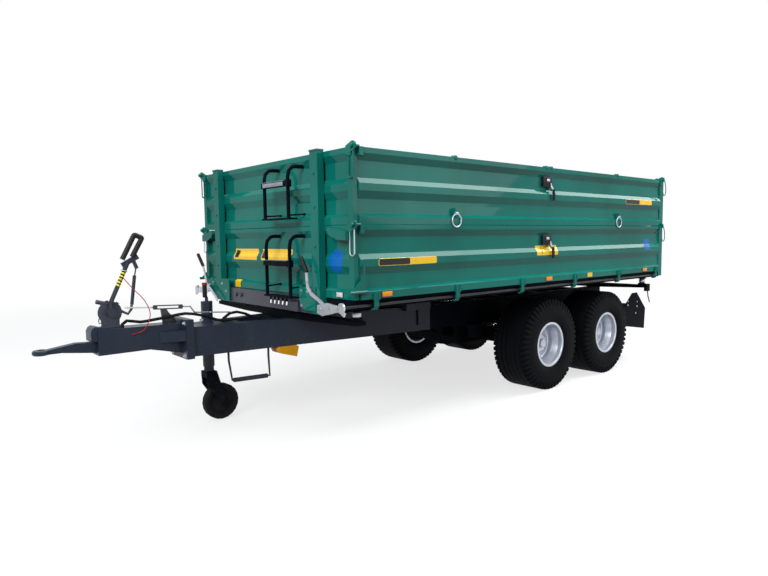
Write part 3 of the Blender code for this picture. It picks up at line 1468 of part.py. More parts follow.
def wall_hooks(sign):
    """Bent hooks below the lower side wall, each between two ears."""
    outline = [(sign * (SIDE + out), WALL_FOOT + up) for out, up in HOOK_SECTION]
    ear_x = span(sign * (SIDE - 0.004), sign * (SIDE + 0.016))
    ear_z = (WALL_FOOT - 0.010, WALL_FOOT + 0.048)
    pieces = []
    half = HOOK_WIDTH / 2
    for y in hook_places():
        pieces.append(plate(outline, "Y", y - half, y + half))
        for ear in (-1, 1):
            pieces.append(box(ear_x, span(y + ear * (half - WELD), y + ear * (half + 0.006)), ear_z))
    return pieces


def corner_pin(sign):
    """Round bar at the wall's front foot with its gusset and thin upright."""
    x = sign * (SIDE + 0.010)
    z = WALL_FOOT + PIN_BAR_RISE
    gusset = [(-0.045, z + 0.002), (0.080, z + 0.002), (0.080, z + 0.105), (0.060, z + 0.105)]
    return [
        rod((x, -0.057, z), (x, 0.090, z), PIN_BAR_R, sides=10),
        plate(gusset, "X", *span(x - sign * 0.004, x + sign * 0.004)),
        rod((x, 0.068, z + 0.090), (x, 0.068, z + 0.186), 0.005, sides=8),
    ]


def wall_latch(sign, tier):
    """Latch block recessed between the ribs, with its flat arm and grip."""
    y = WALL_MIDDLE - 0.030
    z = TIER_TOPS[tier] - LATCH_DROP
    out = sign * SIDE
    arm = [(y + 0.030, z - 0.020), (y + 0.072, z - 0.074)]
    grip_x = out + sign * 0.018
    return [
        box(span(out - sign * (PANEL_DEPTH + WELD), out + sign * 0.004), (y - 0.065, y + 0.065), (z - 0.045, z + 0.045)),
        flat_bar(arm, 0.020, "X", *span(out - sign * 0.004, out + sign * 0.012)),
        rod((grip_x, y + 0.070, z - 0.064), (grip_x, y + 0.076, z - 0.166), 0.012, sides=10),
    ]


def wall_ring(sign, y):
    """Lashing ring that hangs from a block at the foot of the upper tier."""
    out = sign * SIDE
    foot = TIER_FEET["upper"]
    block = box(span(out - sign * (PANEL_DEPTH + WELD), out + sign * 0.012), (y - 0.018, y + 0.018), (foot + 0.078, foot + 0.126))
    loop = arc((y, foot + 0.032), 0.0505, 0, 315, 7)
    return [block, tube([(out + sign * 0.0065, *place) for place in loop], 0.0045, sides=1, closed=True)]


def side_wall(side, tier):
    """Swinging side wall tier with its hinge pins, latch and fittings."""
    sign = SIDES[side]
    x = sign * SIDE
    pieces = [plate(tier_outline(tier, x, -sign), "Y", WALL_START, WALL_END)]
    z = hinge_z(tier)
    block_top = min(TIER_TOPS[tier], z + 0.002)
    pins = ((-PIN_REACH, WALL_START, 1), (BED_LENGTH - REAR_POST + 0.034, WALL_END, -1))
    for tip, root, along in pins:
        pieces.append(rod((x, tip, z), (x, root - along * FIT, z), HINGE_PIN_R, sides=10))
        block_y = span(root - along * 0.005, root + along * HINGE_BLOCK)
        pieces.append(box(span(x - sign * 0.014, x + sign * 0.012), block_y, (z - LUG_HEIGHT, block_top)))
    pieces.append(rod((x, -PIN_REACH - 0.004, z), (x, -LUG_THICKNESS - 0.0015, z), 0.016, sides=10))
    pieces += wall_latch(sign, tier)
    if tier == "lower":
        pieces += wall_hooks(sign) + corner_pin(sign)
    else:
        pieces += [loop for y in (-RING_SPREAD, RING_SPREAD) for loop in wall_ring(sign, WALL_MIDDLE + y)]
        edge = (x - sign * WALL_THICKNESS / 2, TOP - 0.004)
        for along in STUDS:
            y = WALL_MIDDLE + along
            pieces.append(rod((edge[0], y - 0.020, edge[1]), (edge[0], y + 0.020, edge[1]), 0.018, sides=10))
    return part(f"side_wall_{side}_{tier}", "green", pieces)


def rear_wall(tier):
    """Swinging rear wall tier between the rear posts."""
    reach = POST_FACE - REAR_POST_WIDTH - RUNNING
    pieces = [plate(tier_outline(tier, BED_LENGTH, -1), "X", -reach, reach)]
    z = hinge_z(tier)
    block_top = min(TIER_TOPS[tier], z + 0.002)
    for sign in SIDES.values():
        start, end = sign * (reach + FIT), sign * (reach + 0.032)
        pieces.append(rod((start, BED_LENGTH, z), (end, BED_LENGTH, z), HINGE_PIN_R, sides=10))
        block_x = span(sign * (reach - HINGE_BLOCK), sign * (reach + 0.005))
        pieces.append(box(block_x, (BED_LENGTH - 0.014, BED_LENGTH + 0.012), (z - LUG_HEIGHT, block_top)))
    return part(f"rear_wall_{tier}", "green", pieces)


def locking_shaft(side):
    """Shaft below the side wall that locks its hooks, with bearings and the hand lever at the front."""
    sign = SIDES[side]
    x = sign * SHAFT_X
    pieces = [rod((x, -SHAFT_FRONT, SHAFT_Z), (x, BED_LENGTH - 0.120, SHAFT_Z), SHAFT_R, sides=10)]
    hooks = hook_places()
    for before, after in zip(hooks, hooks[1:]):
        y = (before + after) / 2
        pieces.append(box(span(sign * (RIM_OUT + FIT), x), (y - 0.015, y + 0.015), (SHAFT_Z - 0.010, SHAFT_Z + 0.010)))
    boss_y = (-SHAFT_FRONT - 0.008, -SHAFT_FRONT + 0.010)
    pieces.append(rod((x, boss_y[0], SHAFT_Z), (x, boss_y[1], SHAFT_Z), SHAFT_BOSS_R))
    sheet = (-SHAFT_FRONT - LEVER_SHEET / 2, -SHAFT_FRONT + LEVER_SHEET / 2)
    shape = {name: [(sign * (SIDE + out), WALL_FOOT + up) for out, up in run] for name, run in LEVERS[side].items()}
    tip = [(sign * (SIDE + out), WALL_FOOT + up) for out, up in LEVER_TIP]
    pieces.append(flat_bar(shape["arm"], LEVER_BAR, "Y", *sheet))
    pieces.append(plate(shape["head"], "Y", sheet[0] - 0.001, sheet[1] + 0.001))
    pieces.append(flat_bar(tip, LEVER_BAR, "Y", sheet[0] - 0.002, sheet[1] + 0.002))
    (x0, z0), (x1, z1) = shape["grip"]
    pieces.append(rod((x0, -SHAFT_FRONT, z0), (x1, -SHAFT_FRONT, z1), LEVER_GRIP_R, sides=10))
    return part(f"locking_shaft_{side}", "black", pieces)


def pivot_ball(where, side):
    sign = SIDES[side]
    y = {"front": PIVOT_FRONT, "rear": PIVOT_REAR}[where]
    return part(f"pivot_ball_{where}_{side}", "zinc", [ball((sign * PIVOT_X, y, PIVOT_Z), BALL_R)], smooth=True)


def breakaway_cable():
    """Thin cable that hangs from the lever to the housing in a loose loop."""
    housing_x = HOUSING_HALF + CABLE_R + FIT
    points = [
        (LEVER_X + LEVER_R + CABLE_R + FIT, -1.156, QUADRANT_Z + 0.245),
        (0.055, -1.100, QUADRANT_Z + 0.165),
        (0.080, -1.030, QUADRANT_Z + 0.075),
        (0.095, -1.000, QUADRANT_Z - 0.025),
        (0.090, -1.040, QUADRANT_Z - 0.125),
        (housing_x, -1.110, QUADRANT_Z - 0.155),
        (housing_x, -1.125, QUADRANT_Z - 0.157),
    ]
    return part("breakaway_cable", "red", [tube(smooth_route(points, CABLE_R * 9), CABLE_R, sides=1)])


# Assembly


def hang(name, place, parent, nodes):
    """An empty on a joint's axis that carries the nodes of one moving body."""
    empty = bpy.data.objects.new(name, None)
    empty.empty_display_size = 0.1
    empty["place"] = place
    PARTS.objects.link(empty)
    empty.location = place
    if parent:
        empty.parent = parent
        empty.location = Vector(place) - Vector(parent["place"])
    for node in nodes:
        node.parent = empty
        node.location = -Vector(place)
    return empty


def build():
    fixed = [
        drawbar_eye(),
        overrun_housing(),
        drawbar_vee(),
        chassis_frame(),
        outrigger("tip_outrigger_front", PIVOT_FRONT, RAIL_TOP),
        outrigger("tip_outrigger_rear", PIVOT_REAR, RAIL_TOP, ends=True),
        rear_bumper(),
        handbrake_quadrant(),
        handbrake_lever(),
        brake_rod(),
        drawbar_hose(),
        breakaway_cable(),
        step_loop(),
        wheel_chocks(),
        jack_sleeve(),
        ram_cradle(),
    ]
    fixed += [suspension(side) for side in SIDES]
    fixed += [axle(which) for which in AXLES]
    chassis = hang("chassis", (0, 0, 0), None, fixed)

    for which, y in AXLES.items():
        for side, sign in SIDES.items():
            hang(f"spin_{which}_{side}", (sign * TYRE_X, y, TYRE_R), chassis, wheel(which, side))

    leg = hang("jack_slide", (JACK_X, JACK_Y, JACK_LEG_FOOT), chassis, [jack_leg()])
    fork = hang("jack_swivel", (JACK_X, JACK_Y, JACK_LEG_FOOT), leg, [jack_fork()])
    hang("jack_wheel_spin", (JACK_X, JACK_Y + JACK_TRAIL, JACK_WHEEL_R), fork, [jack_wheel()])

    carrier = hang("ram_tilt", (0, RAM_Y, RAM_PIVOT_Z), chassis, [ram_barrel()])
    for stage in range(1, RAM_STAGES + 1):
        carrier = hang(f"ram_slide_{stage}", (0, RAM_Y, RAM_FOOT), carrier, [ram_stage(stage)])

    left = hang(
        "tip_left", (PIVOT_X, 0, PIVOT_Z), chassis, [pivot_ball(where, "left") for where in ("front", "rear")]
    )
    right = hang(
        "tip_right", (-PIVOT_X, 0, PIVOT_Z), left, [pivot_ball(where, "right") for where in ("front", "rear")]
    )
    body = [bed_floor(), apron()]
    body += [front_wall(tier) for tier in TIER_TOPS]
    body += [ladder(tier) for tier in TIER_TOPS]
    for side in SIDES:
        body += [stanchion(side), rear_post(side), locking_shaft(side)]
    bed = hang("tip_rear", (0, PIVOT_REAR, PIVOT_Z), right, body)
    for tier in TIER_TOPS:
        for side, sign in SIDES.items():
            hang(f"swing_{side}_{tier}", (sign * SIDE, 0, hinge_z(tier)), bed, [side_wall(side, tier)])
        hang(f"swing_rear_{tier}", (0, BED_LENGTH, hinge_z(tier)), bed, [rear_wall(tier)])


def move_origin():
    """The origin goes to the ground under the middle of the trailer."""
    for obj in bpy.data.objects:
        if obj.parent is None:
            obj.location.y += ORIGIN_SHIFT


build()
move_origin()
combine_all()
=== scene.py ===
"""Looks of the three-way tipping trailer: finishes, wheels, plates, latches, screws and cable.

Metres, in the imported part's frame: +X is the trailer's left, -Y is forwards, z = 0 is the ground.
Heights are above the ground, and a y given to place() is counted from the front face of the body.
"""

import json
import math

import bmesh
import bpy
from mathutils import Matrix, Vector


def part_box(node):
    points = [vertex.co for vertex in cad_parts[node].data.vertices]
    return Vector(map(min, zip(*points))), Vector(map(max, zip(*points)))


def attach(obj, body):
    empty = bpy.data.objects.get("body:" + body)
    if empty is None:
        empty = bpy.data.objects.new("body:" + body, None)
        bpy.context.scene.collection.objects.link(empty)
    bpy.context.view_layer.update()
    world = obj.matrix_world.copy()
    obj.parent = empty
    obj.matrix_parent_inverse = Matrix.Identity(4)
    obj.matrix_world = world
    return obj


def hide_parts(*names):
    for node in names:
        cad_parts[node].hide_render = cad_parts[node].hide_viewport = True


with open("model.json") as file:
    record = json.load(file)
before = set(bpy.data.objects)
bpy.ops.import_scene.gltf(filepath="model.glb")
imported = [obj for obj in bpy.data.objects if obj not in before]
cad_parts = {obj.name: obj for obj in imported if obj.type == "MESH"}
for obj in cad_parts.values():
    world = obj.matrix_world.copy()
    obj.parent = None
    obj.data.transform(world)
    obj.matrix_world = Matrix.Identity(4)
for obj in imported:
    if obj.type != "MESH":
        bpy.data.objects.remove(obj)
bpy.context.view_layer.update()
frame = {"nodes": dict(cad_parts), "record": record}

# Camera, as solved from the photograph
CAMERA_PLACE = (4.383, -3.937, 1.483)
CAMERA_YAW = 49.32
CAMERA_PITCH = -4.83
CAMERA_ROLL = -0.76
CAMERA_LENS = 28.23
CAMERA_SENSOR = 36.0

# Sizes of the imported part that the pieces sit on
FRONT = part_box("bed_floor")[0].y
SIDE = 1.180
HINGES = (1.5695, 2.093)
TIER_FEET = (1.055, 1.5725)
TIER_TOPS = (1.5665, 2.090)
RIB_FACE = (
    (0.000, 0.000),
    (0.052, 0.000),
    (0.072, 0.022),
    (0.145, 0.024),
    (0.172, 0.024),
    (0.228, 0.002),
    (0.278, 0.002),
    (0.314, 0.024),
    (0.430, 0.024),
    (0.480, 0.000),
    (0.520, 0.000),
)
TIERS = ("lower", "upper")
SIDES = {"left": 1, "right": -1}
WHEELS = [f"{where}_{side}" for where in ("front", "rear") for side in SIDES]


def place(x, y, z):
    """A point with y counted from the front face of the body."""
    return Vector((x, FRONT + y, z))


def full_turn(steps):
    """Evenly spaced angles round a circle."""
    return [2 * math.pi * i / steps for i in range(steps)]


# The breakaway cable comes first: its route repeats the source's points
CABLE_DIAMETER = 0.006
CABLE_SPACING = 0.027
CABLE_KNOTS = (
    (0.0313, -1.156, 1.230),
    (0.0550, -1.100, 1.150),
    (0.0800, -1.030, 1.060),
    (0.0950, -1.000, 0.960),
    (0.0900, -1.040, 0.860),
    (0.0733, -1.110, 0.830),
    (0.0733, -1.125, 0.828),
)


def smooth_route(points, spacing):
    """Points about a spacing apart on a smooth curve through the given ones."""
    knots = [Vector(point) for point in points]
    knots = [2 * knots[0] - knots[1], *knots, 2 * knots[-1] - knots[-2]]
    route = [knots[1]]
    for a, b, c, d in zip(knots, knots[1:], knots[2:], knots[3:]):
        steps = max(1, round((c - b).length / spacing))
        for i in range(1, steps + 1):
            t = i / steps
            cubic = (3 * b - a - 3 * c + d) * t**3
            route.append(0.5 * (2 * b + (c - a) * t + (2 * a - 5 * b + 4 * c - d) * t**2 + cubic))
    return route


# Node maths


class Value:
    """A shader socket that Python's operators turn into Math nodes."""

    def __init__(self, nodes, socket):
        self.nodes = nodes
        self.socket = socket

    def maths(self, operation, other, clamp=False):
        settings = {"operation": operation, "use_clamp": clamp}
        made = self.nodes.node("Math", settings, {0: self, 1: other})
        return Value(self.nodes, made.outputs[0])

    def __add__(self, other):
        return self.maths("ADD", other)

    def __sub__(self, other):
        return self.maths("SUBTRACT", other)

    def __mul__(self, other):
        return self.maths("MULTIPLY", other)

    def __mod__(self, other):
        return self.maths("FLOORED_MODULO", other)

    def __rsub__(self, other):
        return (self * -1) + other

    __radd__ = __add__
    __rmul__ = __mul__

    def over(self, low, high):
        """0 below low, 1 above high and smooth between."""
        inputs = {"Value": self, "From Min": low, "From Max": high}
        made = self.nodes.node("MapRange", {"interpolation_type": "SMOOTHSTEP"}, inputs)
        return Value(self.nodes, made.outputs[0])

    def above(self, level, edge=0.0004):
        """1 above a level and 0 below it, with a crisp edge."""
        return self.over(level - edge, level + edge)

    def between(self, low, high):
        return self.above(low) * (1 - self.above(high))


class Nodes:
    """A node tree, with the one method that makes its nodes."""

    def __init__(self, tree):
        self.tree = tree

    def node(self, kind, settings=None, inputs=None):
        """A node of a kind: its settings are set first, then the values or links of its sockets."""
        made = self.tree.nodes.new("ShaderNode" + kind)
        for key, value in (settings or {}).items():
            if key == "stops":
                stops = made.color_ramp.elements
                while len(stops) < len(value):
                    stops.new(0.5)
                for stop, (at, colour) in zip(stops, value):
                    stop.position = at
                    stop.color = (*colour, 1.0)
            else:
                setattr(made, key, value)
        for key, value in (inputs or {}).items():
            self.feed(made.inputs[key], value)
        return made

    def feed(self, slot, value):
        if isinstance(value, Value):
            value = value.socket
        if isinstance(value, bpy.types.NodeSocket):
            self.tree.links.new(value, slot)
        else:
            slot.default_value = value

    def background_rays(self):
        """1 for the rays that see the backdrop: the camera's and those through gloss and glass."""
        rays = self.node("LightPath").outputs
        seen = Value(self, rays["Is Camera Ray"]) + Value(self, rays["Is Glossy Ray"])
        return seen.maths("ADD", Value(self, rays["Is Transmission Ray"]), clamp=True)


class Finish(Nodes):
    """One material, with its Principled shader and object coordinates at hand."""

    def __init__(self, name):
        self.material = bpy.data.materials.new(name)
        self.material.use_nodes = True
        super().__init__(self.material.node_tree)
        self.surface = self.tree.nodes["Principled BSDF"]
        self.coordinates = self.node("TexCoord").outputs["Object"]
        split = self.node("SeparateXYZ", inputs={0: self.coordinates})
        self.x, self.y, self.z = (Value(self, socket) for socket in split.outputs)

    def stretched(self, stretch):
        if stretch is None:
            return self.coordinates
        inputs = {"Vector": self.coordinates, "Scale": stretch}
        return self.node("Mapping", inputs=inputs).outputs[0]

    def noise(self, scale, detail=2.0, stretch=None, rough=0.5):
        inputs = {"Vector": self.stretched(stretch), "Scale": scale}
        inputs |= {"Detail": detail, "Roughness": rough}
        return Value(self, self.node("TexNoise", inputs=inputs).outputs[0])

    def cells(self, scale):
        inputs = {"Vector": self.coordinates, "Scale": scale}
        return Value(self, self.node("TexVoronoi", inputs=inputs).outputs[0])

    def mix(self, share, first, second):
        inputs = {0: share, 6: colour_of(first), 7: colour_of(second)}
        return self.node("Mix", {"data_type": "RGBA"}, inputs).outputs[2]

    def colour(self, value):
        self.feed(self.surface.inputs["Base Color"], colour_of(value))

    def gloss(self, roughness, coat=0.0, coat_roughness=0.05, specular=0.5):
        self.feed(self.surface.inputs["Roughness"], roughness)
        self.surface.inputs["Specular IOR Level"].default_value = specular
        self.surface.inputs["Coat Weight"].default_value = coat
        self.surface.inputs["Coat Roughness"].default_value = coat_roughness

    def metal(self, value):
        self.feed(self.surface.inputs["Metallic"], value)

    def bump(self, height, depth, strength=0.5):
        made = self.node("Bump", inputs={"Height": height, "Distance": depth, "Strength": strength})
        self.feed(self.surface.inputs["Normal"], made.outputs[0])


def colour_of(value):
    """A linear colour from sRGB bytes; a socket stays as it is."""
    if not isinstance(value, tuple):
        return value
    linear = [v / 255 / 12.92 if v <= 10 else ((v / 255 + 0.055) / 1.055) ** 2.4 for v in value]
    return (*linear, 1.0)


# Finishes


def paint(name, main, shade, roughness=0.28, coat=0.5, specular=0.3, dusty=0.10, patches=None):
    """Sprayed enamel: soft tone changes, orange peel, faint streaks and road dust low down."""
    m = Finish(name)
    dust = (128, 122, 112)
    tone = m.noise(1.3, 3.0).over(0.35, 0.68)
    streaks = m.noise(6.0, 4.0, stretch=(1.0, 1.0, 0.12)).over(0.52, 0.78)
    low = 1 - m.z.over(0.15, 1.0)
    specks = m.noise(34.0, 4.0).over(0.50, 0.72)
    body = m.mix(tone, main, shade)
    body = m.mix(streaks * 0.03, body, dust)
    body = m.mix(low * specks * (dusty * 2.2) + low * (dusty * 0.5), body, dust)
    for mask, colour in patches(m) if patches else ():
        body = m.mix(mask, body, colour)
    m.colour(body)
    sheen = m.noise(9.0, 3.0) * 0.16 + (roughness - 0.06)
    m.gloss(sheen + low * specks * 0.20, coat, specular=specular)
    m.bump(m.noise(260.0, 1.0) * 0.15 + m.noise(5.0, 2.0) * 0.85, 0.0004, 0.25)
    return m


def rubber(name, main=(24, 24, 26), worn=(46, 45, 46), dust=(92, 86, 78)):
    """Rubber: matt, mould-fine grain, greyer where it is rubbed and dusty in patches."""
    m = Finish(name)
    rubbed = m.noise(7.0, 4.0).over(0.42, 0.75)
    dusty = m.noise(3.0, 5.0, rough=0.65).over(0.50, 0.80)
    m.colour(m.mix(dusty * 0.12, m.mix(rubbed * 0.35, main, worn), dust))
    m.gloss(m.noise(30.0, 2.0) * 0.18 + 0.66, specular=0.08)
    m.bump(m.noise(420.0, 2.0) * 0.6 + m.noise(60.0, 2.0) * 0.4, 0.0005, 0.5)
    return m


def bright_metal(name, main, dull, roughness=0.30, grain=(1.0, 1.0, 1.0), metallic=0.9):
    """Zinc plate, silver paint or chrome: crystals of two tones, smears and light scratches."""
    m = Finish(name)
    crystals = m.cells(150.0).over(0.0, 0.9)
    smears = m.noise(14.0, 4.0, stretch=grain).over(0.40, 0.75)
    m.colour(m.mix(smears * 0.35, m.mix(crystals * 0.35, main, dull), dull))
    m.gloss(m.noise(40.0, 3.0, stretch=grain) * 0.20 + (roughness - 0.08))
    m.metal(metallic)
    m.bump(m.noise(300.0, 2.0, stretch=grain), 0.0003, 0.35)
    return m


def plastic(name, main, shade, roughness=0.42, coat=0.0):
    """Moulded plastic or printed film: fine grain, handling marks and a slight fade."""
    m = Finish(name)
    faded = m.noise(12.0, 3.0).over(0.40, 0.75)
    marks = m.noise(70.0, 4.0).over(0.58, 0.80)
    m.colour(m.mix(marks * 0.10, m.mix(faded * 0.45, main, shade), (60, 58, 54)))
    m.gloss(m.noise(50.0, 2.0) * 0.18 + (roughness - 0.08), coat, specular=0.25)
    m.bump(m.noise(500.0, 2.0), 0.0002, 0.4)
    return m


def lens(name, main, dark):
    """Reflector or lamp lens: a small prism grid under clear gloss."""
    m = Finish(name)
    prisms = m.cells(420.0)
    m.colour(m.mix(prisms.over(0.15, 0.75), main, dark))
    m.gloss(m.noise(90.0) * 0.10 + 0.18, 0.25, specular=0.2)
    m.bump(prisms, 0.0006, 0.5)
    return m


GREEN = (12, 117, 106)
GREEN_DEEP = (7, 104, 94)
BLACK = (14, 19, 28)
BLACK_DEEP = (9, 13, 20)
STEEL = (196, 200, 206)
STEEL_DULL = (160, 164, 170)
STEEL_WORN = (120, 124, 130)
BRACKET_GREY = (40, 42, 48)
TAPE_BLACK = (24, 24, 26)
TAPE_YELLOW = (226, 216, 74)
GRIP_BLACK = (20, 20, 22)
CAP_RED = (178, 26, 28)

# Where the finishes change on single CAD nodes
TAPE_HEIGHTS = (1.165, 1.275)
TAPE_PITCH = 0.026
TAPE_BLACK_WIDTH = 0.012
CRANK_GRIP_FOOT = 1.015
CRANK_CAP_FOOT = 1.1175
LEVER_FACE = FRONT - 0.098
LEVER_GRIP_FOOT = 1.237
ROD_BRACKET = (FRONT - 0.950, FRONT - 0.722)


def brake_lever_bands(m):
    """Yellow and black tape on the shaft of the handbrake lever."""
    stripes = ((m.z + m.y * 0.6) % TAPE_PITCH).above(TAPE_BLACK_WIDTH, 0.001)
    behind = m.y - (m.z - 1.065) * 0.46 - (FRONT - 1.232)
    tape = m.z.between(*TAPE_HEIGHTS) * behind.between(-0.03, 0.03)
    return [(tape, TAPE_BLACK), (tape * stripes, TAPE_YELLOW)]


def jack_knob(m):
    """Black crank grip with its red end cap."""
    return [(m.z.above(CRANK_GRIP_FOOT), GRIP_BLACK), (m.z.above(CRANK_CAP_FOOT), CAP_RED)]


def lever_arms(m):
    """The locking levers ahead of the body: pale steel arms and heads, black grips."""
    ahead = 1 - m.y.above(LEVER_FACE, 0.001)
    worn = m.noise(22.0, 4.0).over(0.50, 0.78)
    grips = ahead * m.z.above(LEVER_GRIP_FOOT)
    return [(ahead, STEEL), (ahead * worn * 0.5, STEEL_WORN), (grips, GRIP_BLACK)]


def locking_steel(name):
    """Black shaft whose bare steel levers shine."""
    m = paint(name, BLACK, BLACK_DEEP, 0.38, 0.0, 0.3, patches=lever_arms)
    ahead = 1 - m.y.above(LEVER_FACE, 0.001)
    m.metal(ahead * (1 - m.z.above(LEVER_GRIP_FOOT)) * 0.75)
    return m


def worn_rod(name):
    """Bare cranked rods with a dark bracket and buckle between them."""
    m = bright_metal(name, STEEL, STEEL_DULL, 0.34)
    dark = m.y.between(*ROD_BRACKET)
    bare = m.mix(m.noise(14.0, 4.0).over(0.4, 0.75) * 0.4, STEEL, STEEL_DULL)
    m.colour(m.mix(dark, bare, BRACKET_GREY))
    m.metal(0.9 - dark * 0.9)
    return m


FINISHES = {
    "green": paint("green_enamel", GREEN, GREEN_DEEP, 0.30, 0.36, 0.0, dusty=0.02),
    "steel_blue": paint("frame_blue_grey", (34, 45, 61), (28, 37, 52), 0.36, 0.1, 0.15, dusty=0.05),
    "anthracite": paint("anthracite", (66, 70, 81), (56, 59, 69), 0.36, 0.1, 0.2),
    "black": paint("chassis_black", BLACK, BLACK_DEEP, 0.50, 0.0, 0.02, dusty=0.03),
    "rubber": rubber("rubber_parts"),
    "tyre_rubber": rubber("tyre_rubber", (4, 5, 9), (14, 15, 19), (40, 38, 37)),
    "silver": bright_metal("rim_silver", (206, 211, 221), (160, 165, 176), 0.32, metallic=0.65),
    "chrome": bright_metal("chrome", (225, 227, 230), (190, 192, 196), 0.14, (1.0, 1.0, 0.05), 1.0),
    "zinc": bright_metal("zinc_plate", (196, 200, 206), (150, 154, 160), 0.34),
    "grating": bright_metal("rung_grating", (148, 152, 166), (104, 108, 122), 0.45, metallic=0.4),
    "yellow": plastic("chock_yellow", (235, 165, 12), (205, 138, 10)),
    "red": plastic("red_sleeve", (165, 26, 30), (120, 18, 22)),
    "grip": plastic("black_grip", (12, 12, 14), (22, 22, 24), 0.50),
    "plate_yellow": plastic("plate_yellow", (255, 205, 18), (240, 190, 14), 0.36, 0.4),
    "plate_black": plastic("plate_black", (12, 12, 14), (20, 19, 20), 0.40, 0.1),
    "plate_blue": plastic("plate_blue", (0, 104, 184), (0, 90, 168), 0.40, 0.0),
    "amber": lens("amber_lens", (255, 170, 20), (240, 136, 8)),
    "white_lens": lens("white_lens", (240, 240, 240), (200, 204, 208)),
    "red_lens": lens("red_lens", (200, 16, 18), (140, 8, 12)),
    "brake_lever": paint(
        "brake_lever", (48, 52, 63), (38, 42, 52), 0.36, 0.1, 0.2, patches=brake_lever_bands
    ),
    "jack": paint("jack_tube", (37, 46, 59), (30, 38, 50), 0.36, 0.1, 0.2, patches=jack_knob),
    "locking": locking_steel("locking_shaft"),
    "rod": worn_rod("brake_rod_steel"),
}
NODE_FINISHES = {
    "handbrake_lever": "brake_lever",
    "jack_sleeve": "jack",
    "locking_shaft_left": "locking",
    "locking_shaft_right": "locking",
    "brake_rod": "rod",
}


def finish_frame():
    """Every CAD node gets the finish of its material slot, or one of its own."""
    slots = {entry["node"]: entry["material_slot"] for entry in frame["record"]["subparts"]}
    for name, node in frame["nodes"].items():
        node.data.materials.clear()
        node.data.materials.append(FINISHES[NODE_FINISHES.get(name, slots[name])].material)


# Shapes


def add(name, shape, finish, body, smooth=True, replaced=()):
    """A finished piece from a bmesh, riding on its body."""
    mesh = bpy.data.meshes.new(name)
    bmesh.ops.recalc_face_normals(shape, faces=shape.faces)
    shape.to_mesh(mesh)
    shape.free()
    mesh.materials.append(FINISHES[finish].material)
    if smooth:
        mesh.shade_smooth()
        mesh.set_sharp_from_angle(angle=math.radians(32))
    piece = bpy.data.objects.new(name, mesh)
    bpy.context.scene.collection.objects.link(piece)
    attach(piece, body)
    if replaced:
        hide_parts(*replaced)
    return piece


def add_box(shape, low, high, edge=0.0):
    low, high = Vector(map(min, low, high)), Vector(map(max, low, high))
    matrix = Matrix.Translation((low + high) / 2) @ Matrix.Diagonal((*(high - low), 1.0))
    made = bmesh.ops.create_cube(shape, size=1.0, matrix=matrix)
    if edge:
        edges = list({e for v in made["verts"] for e in v.link_edges})
        bmesh.ops.bevel(shape, geom=edges, offset=edge, segments=2, profile=0.5, affect="EDGES")


def add_rod(shape, start, end, radius, end_radius=None, sides=16):
    start, end = Vector(start), Vector(end)
    along = end - start
    turn = along.to_track_quat("Z", "Y").to_matrix().to_4x4()
    bmesh.ops.create_cone(
        shape,
        cap_ends=True,
        segments=sides,
        radius1=radius,
        radius2=radius if end_radius is None else end_radius,
        depth=along.length,
        matrix=Matrix.Translation((start + end) / 2) @ turn,
    )


def add_bolt(shape, foot, direction, size=0.010, washer=True):
    """Hexagon head on a washer, standing on foot along direction."""
    foot, direction = Vector(foot), Vector(direction).normalized()
    if washer:
        add_rod(shape, foot, foot + direction * size * 0.25, size * 1.35, sides=16)
    add_rod(shape, foot, foot + direction * size * 0.85, size, size * 0.94, sides=6)


def add_tube(shape, points, radius, sides=12, closed=False):
    """Round wire or tube through the points, with flat ends unless it is closed."""
    points = [Vector(point) for point in points]
    count = len(points)
    across = None
    rings = []
    for i, point in enumerate(points):
        before = points[i - 1] if i or closed else point
        after = points[(i + 1) % count] if i + 1 < count or closed else point
        along = (after - before).normalized()
        across = along.orthogonal() if across is None else across - along * across.dot(along)
        across.normalize()
        other = along.cross(across)
        ways = [across * math.cos(t) + other * math.sin(t) for t in full_turn(sides)]
        rings.append([shape.verts.new(point + way * radius) for way in ways])
    for i in range(count if closed else count - 1):
        first, second = rings[i], rings[(i + 1) % count]
        for k in range(sides):
            shape.faces.new((first[k], first[(k + 1) % sides], second[(k + 1) % sides], second[k]))
    if not closed:
        shape.faces.new(rings[0])
        shape.faces.new(rings[-1])


def add_slab(shape, outline, axis, low, high):
    """A flat plate: the outline lies in the plane across axis, from low to high along it."""

    def point(pair, level):
        made = list(pair)
        made.insert("XYZ".index(axis), level)
        return shape.verts.new(made)

    rows = [[point(pair, level) for pair in outline] for level in (low, high)]
    for i in range(len(outline)):
        k = (i + 1) % len(outline)
        shape.faces.new((rows[0][i], rows[0][k], rows[1][k], rows[1][i]))
    for row in rows:
        shape.faces.new(row)


def add_grid(shape, rows):
    """A closed skin of quads: rows of equal length, joined round both ways."""
    made = [[shape.verts.new(point) for point in row] for row in rows]
    width = len(made[0])
    for i, row in enumerate(made):
        following = made[(i + 1) % len(made)]
        for j in range(width):
            k = (j + 1) % width
            shape.faces.new((row[j], row[k], following[k], following[j]))


# Wheels

TYRE_R = 0.437
RIM_STEPS = 72
TREAD_BLOCKS = 52
STEPS_PER_BLOCK = 6
SLOT_STEPS = 2
GROOVE = 0.012
GROOVE_SLOPES = (0.008, 0.002)
DISC_FACE = 0.0262
HUB_FACE = 0.061
NUT_CIRCLE = 0.1025
NUTS = 6
HUB_SCREW_CIRCLE = 0.062
HUB_SCREWS = 3
VALVE_TURN = math.radians(250)
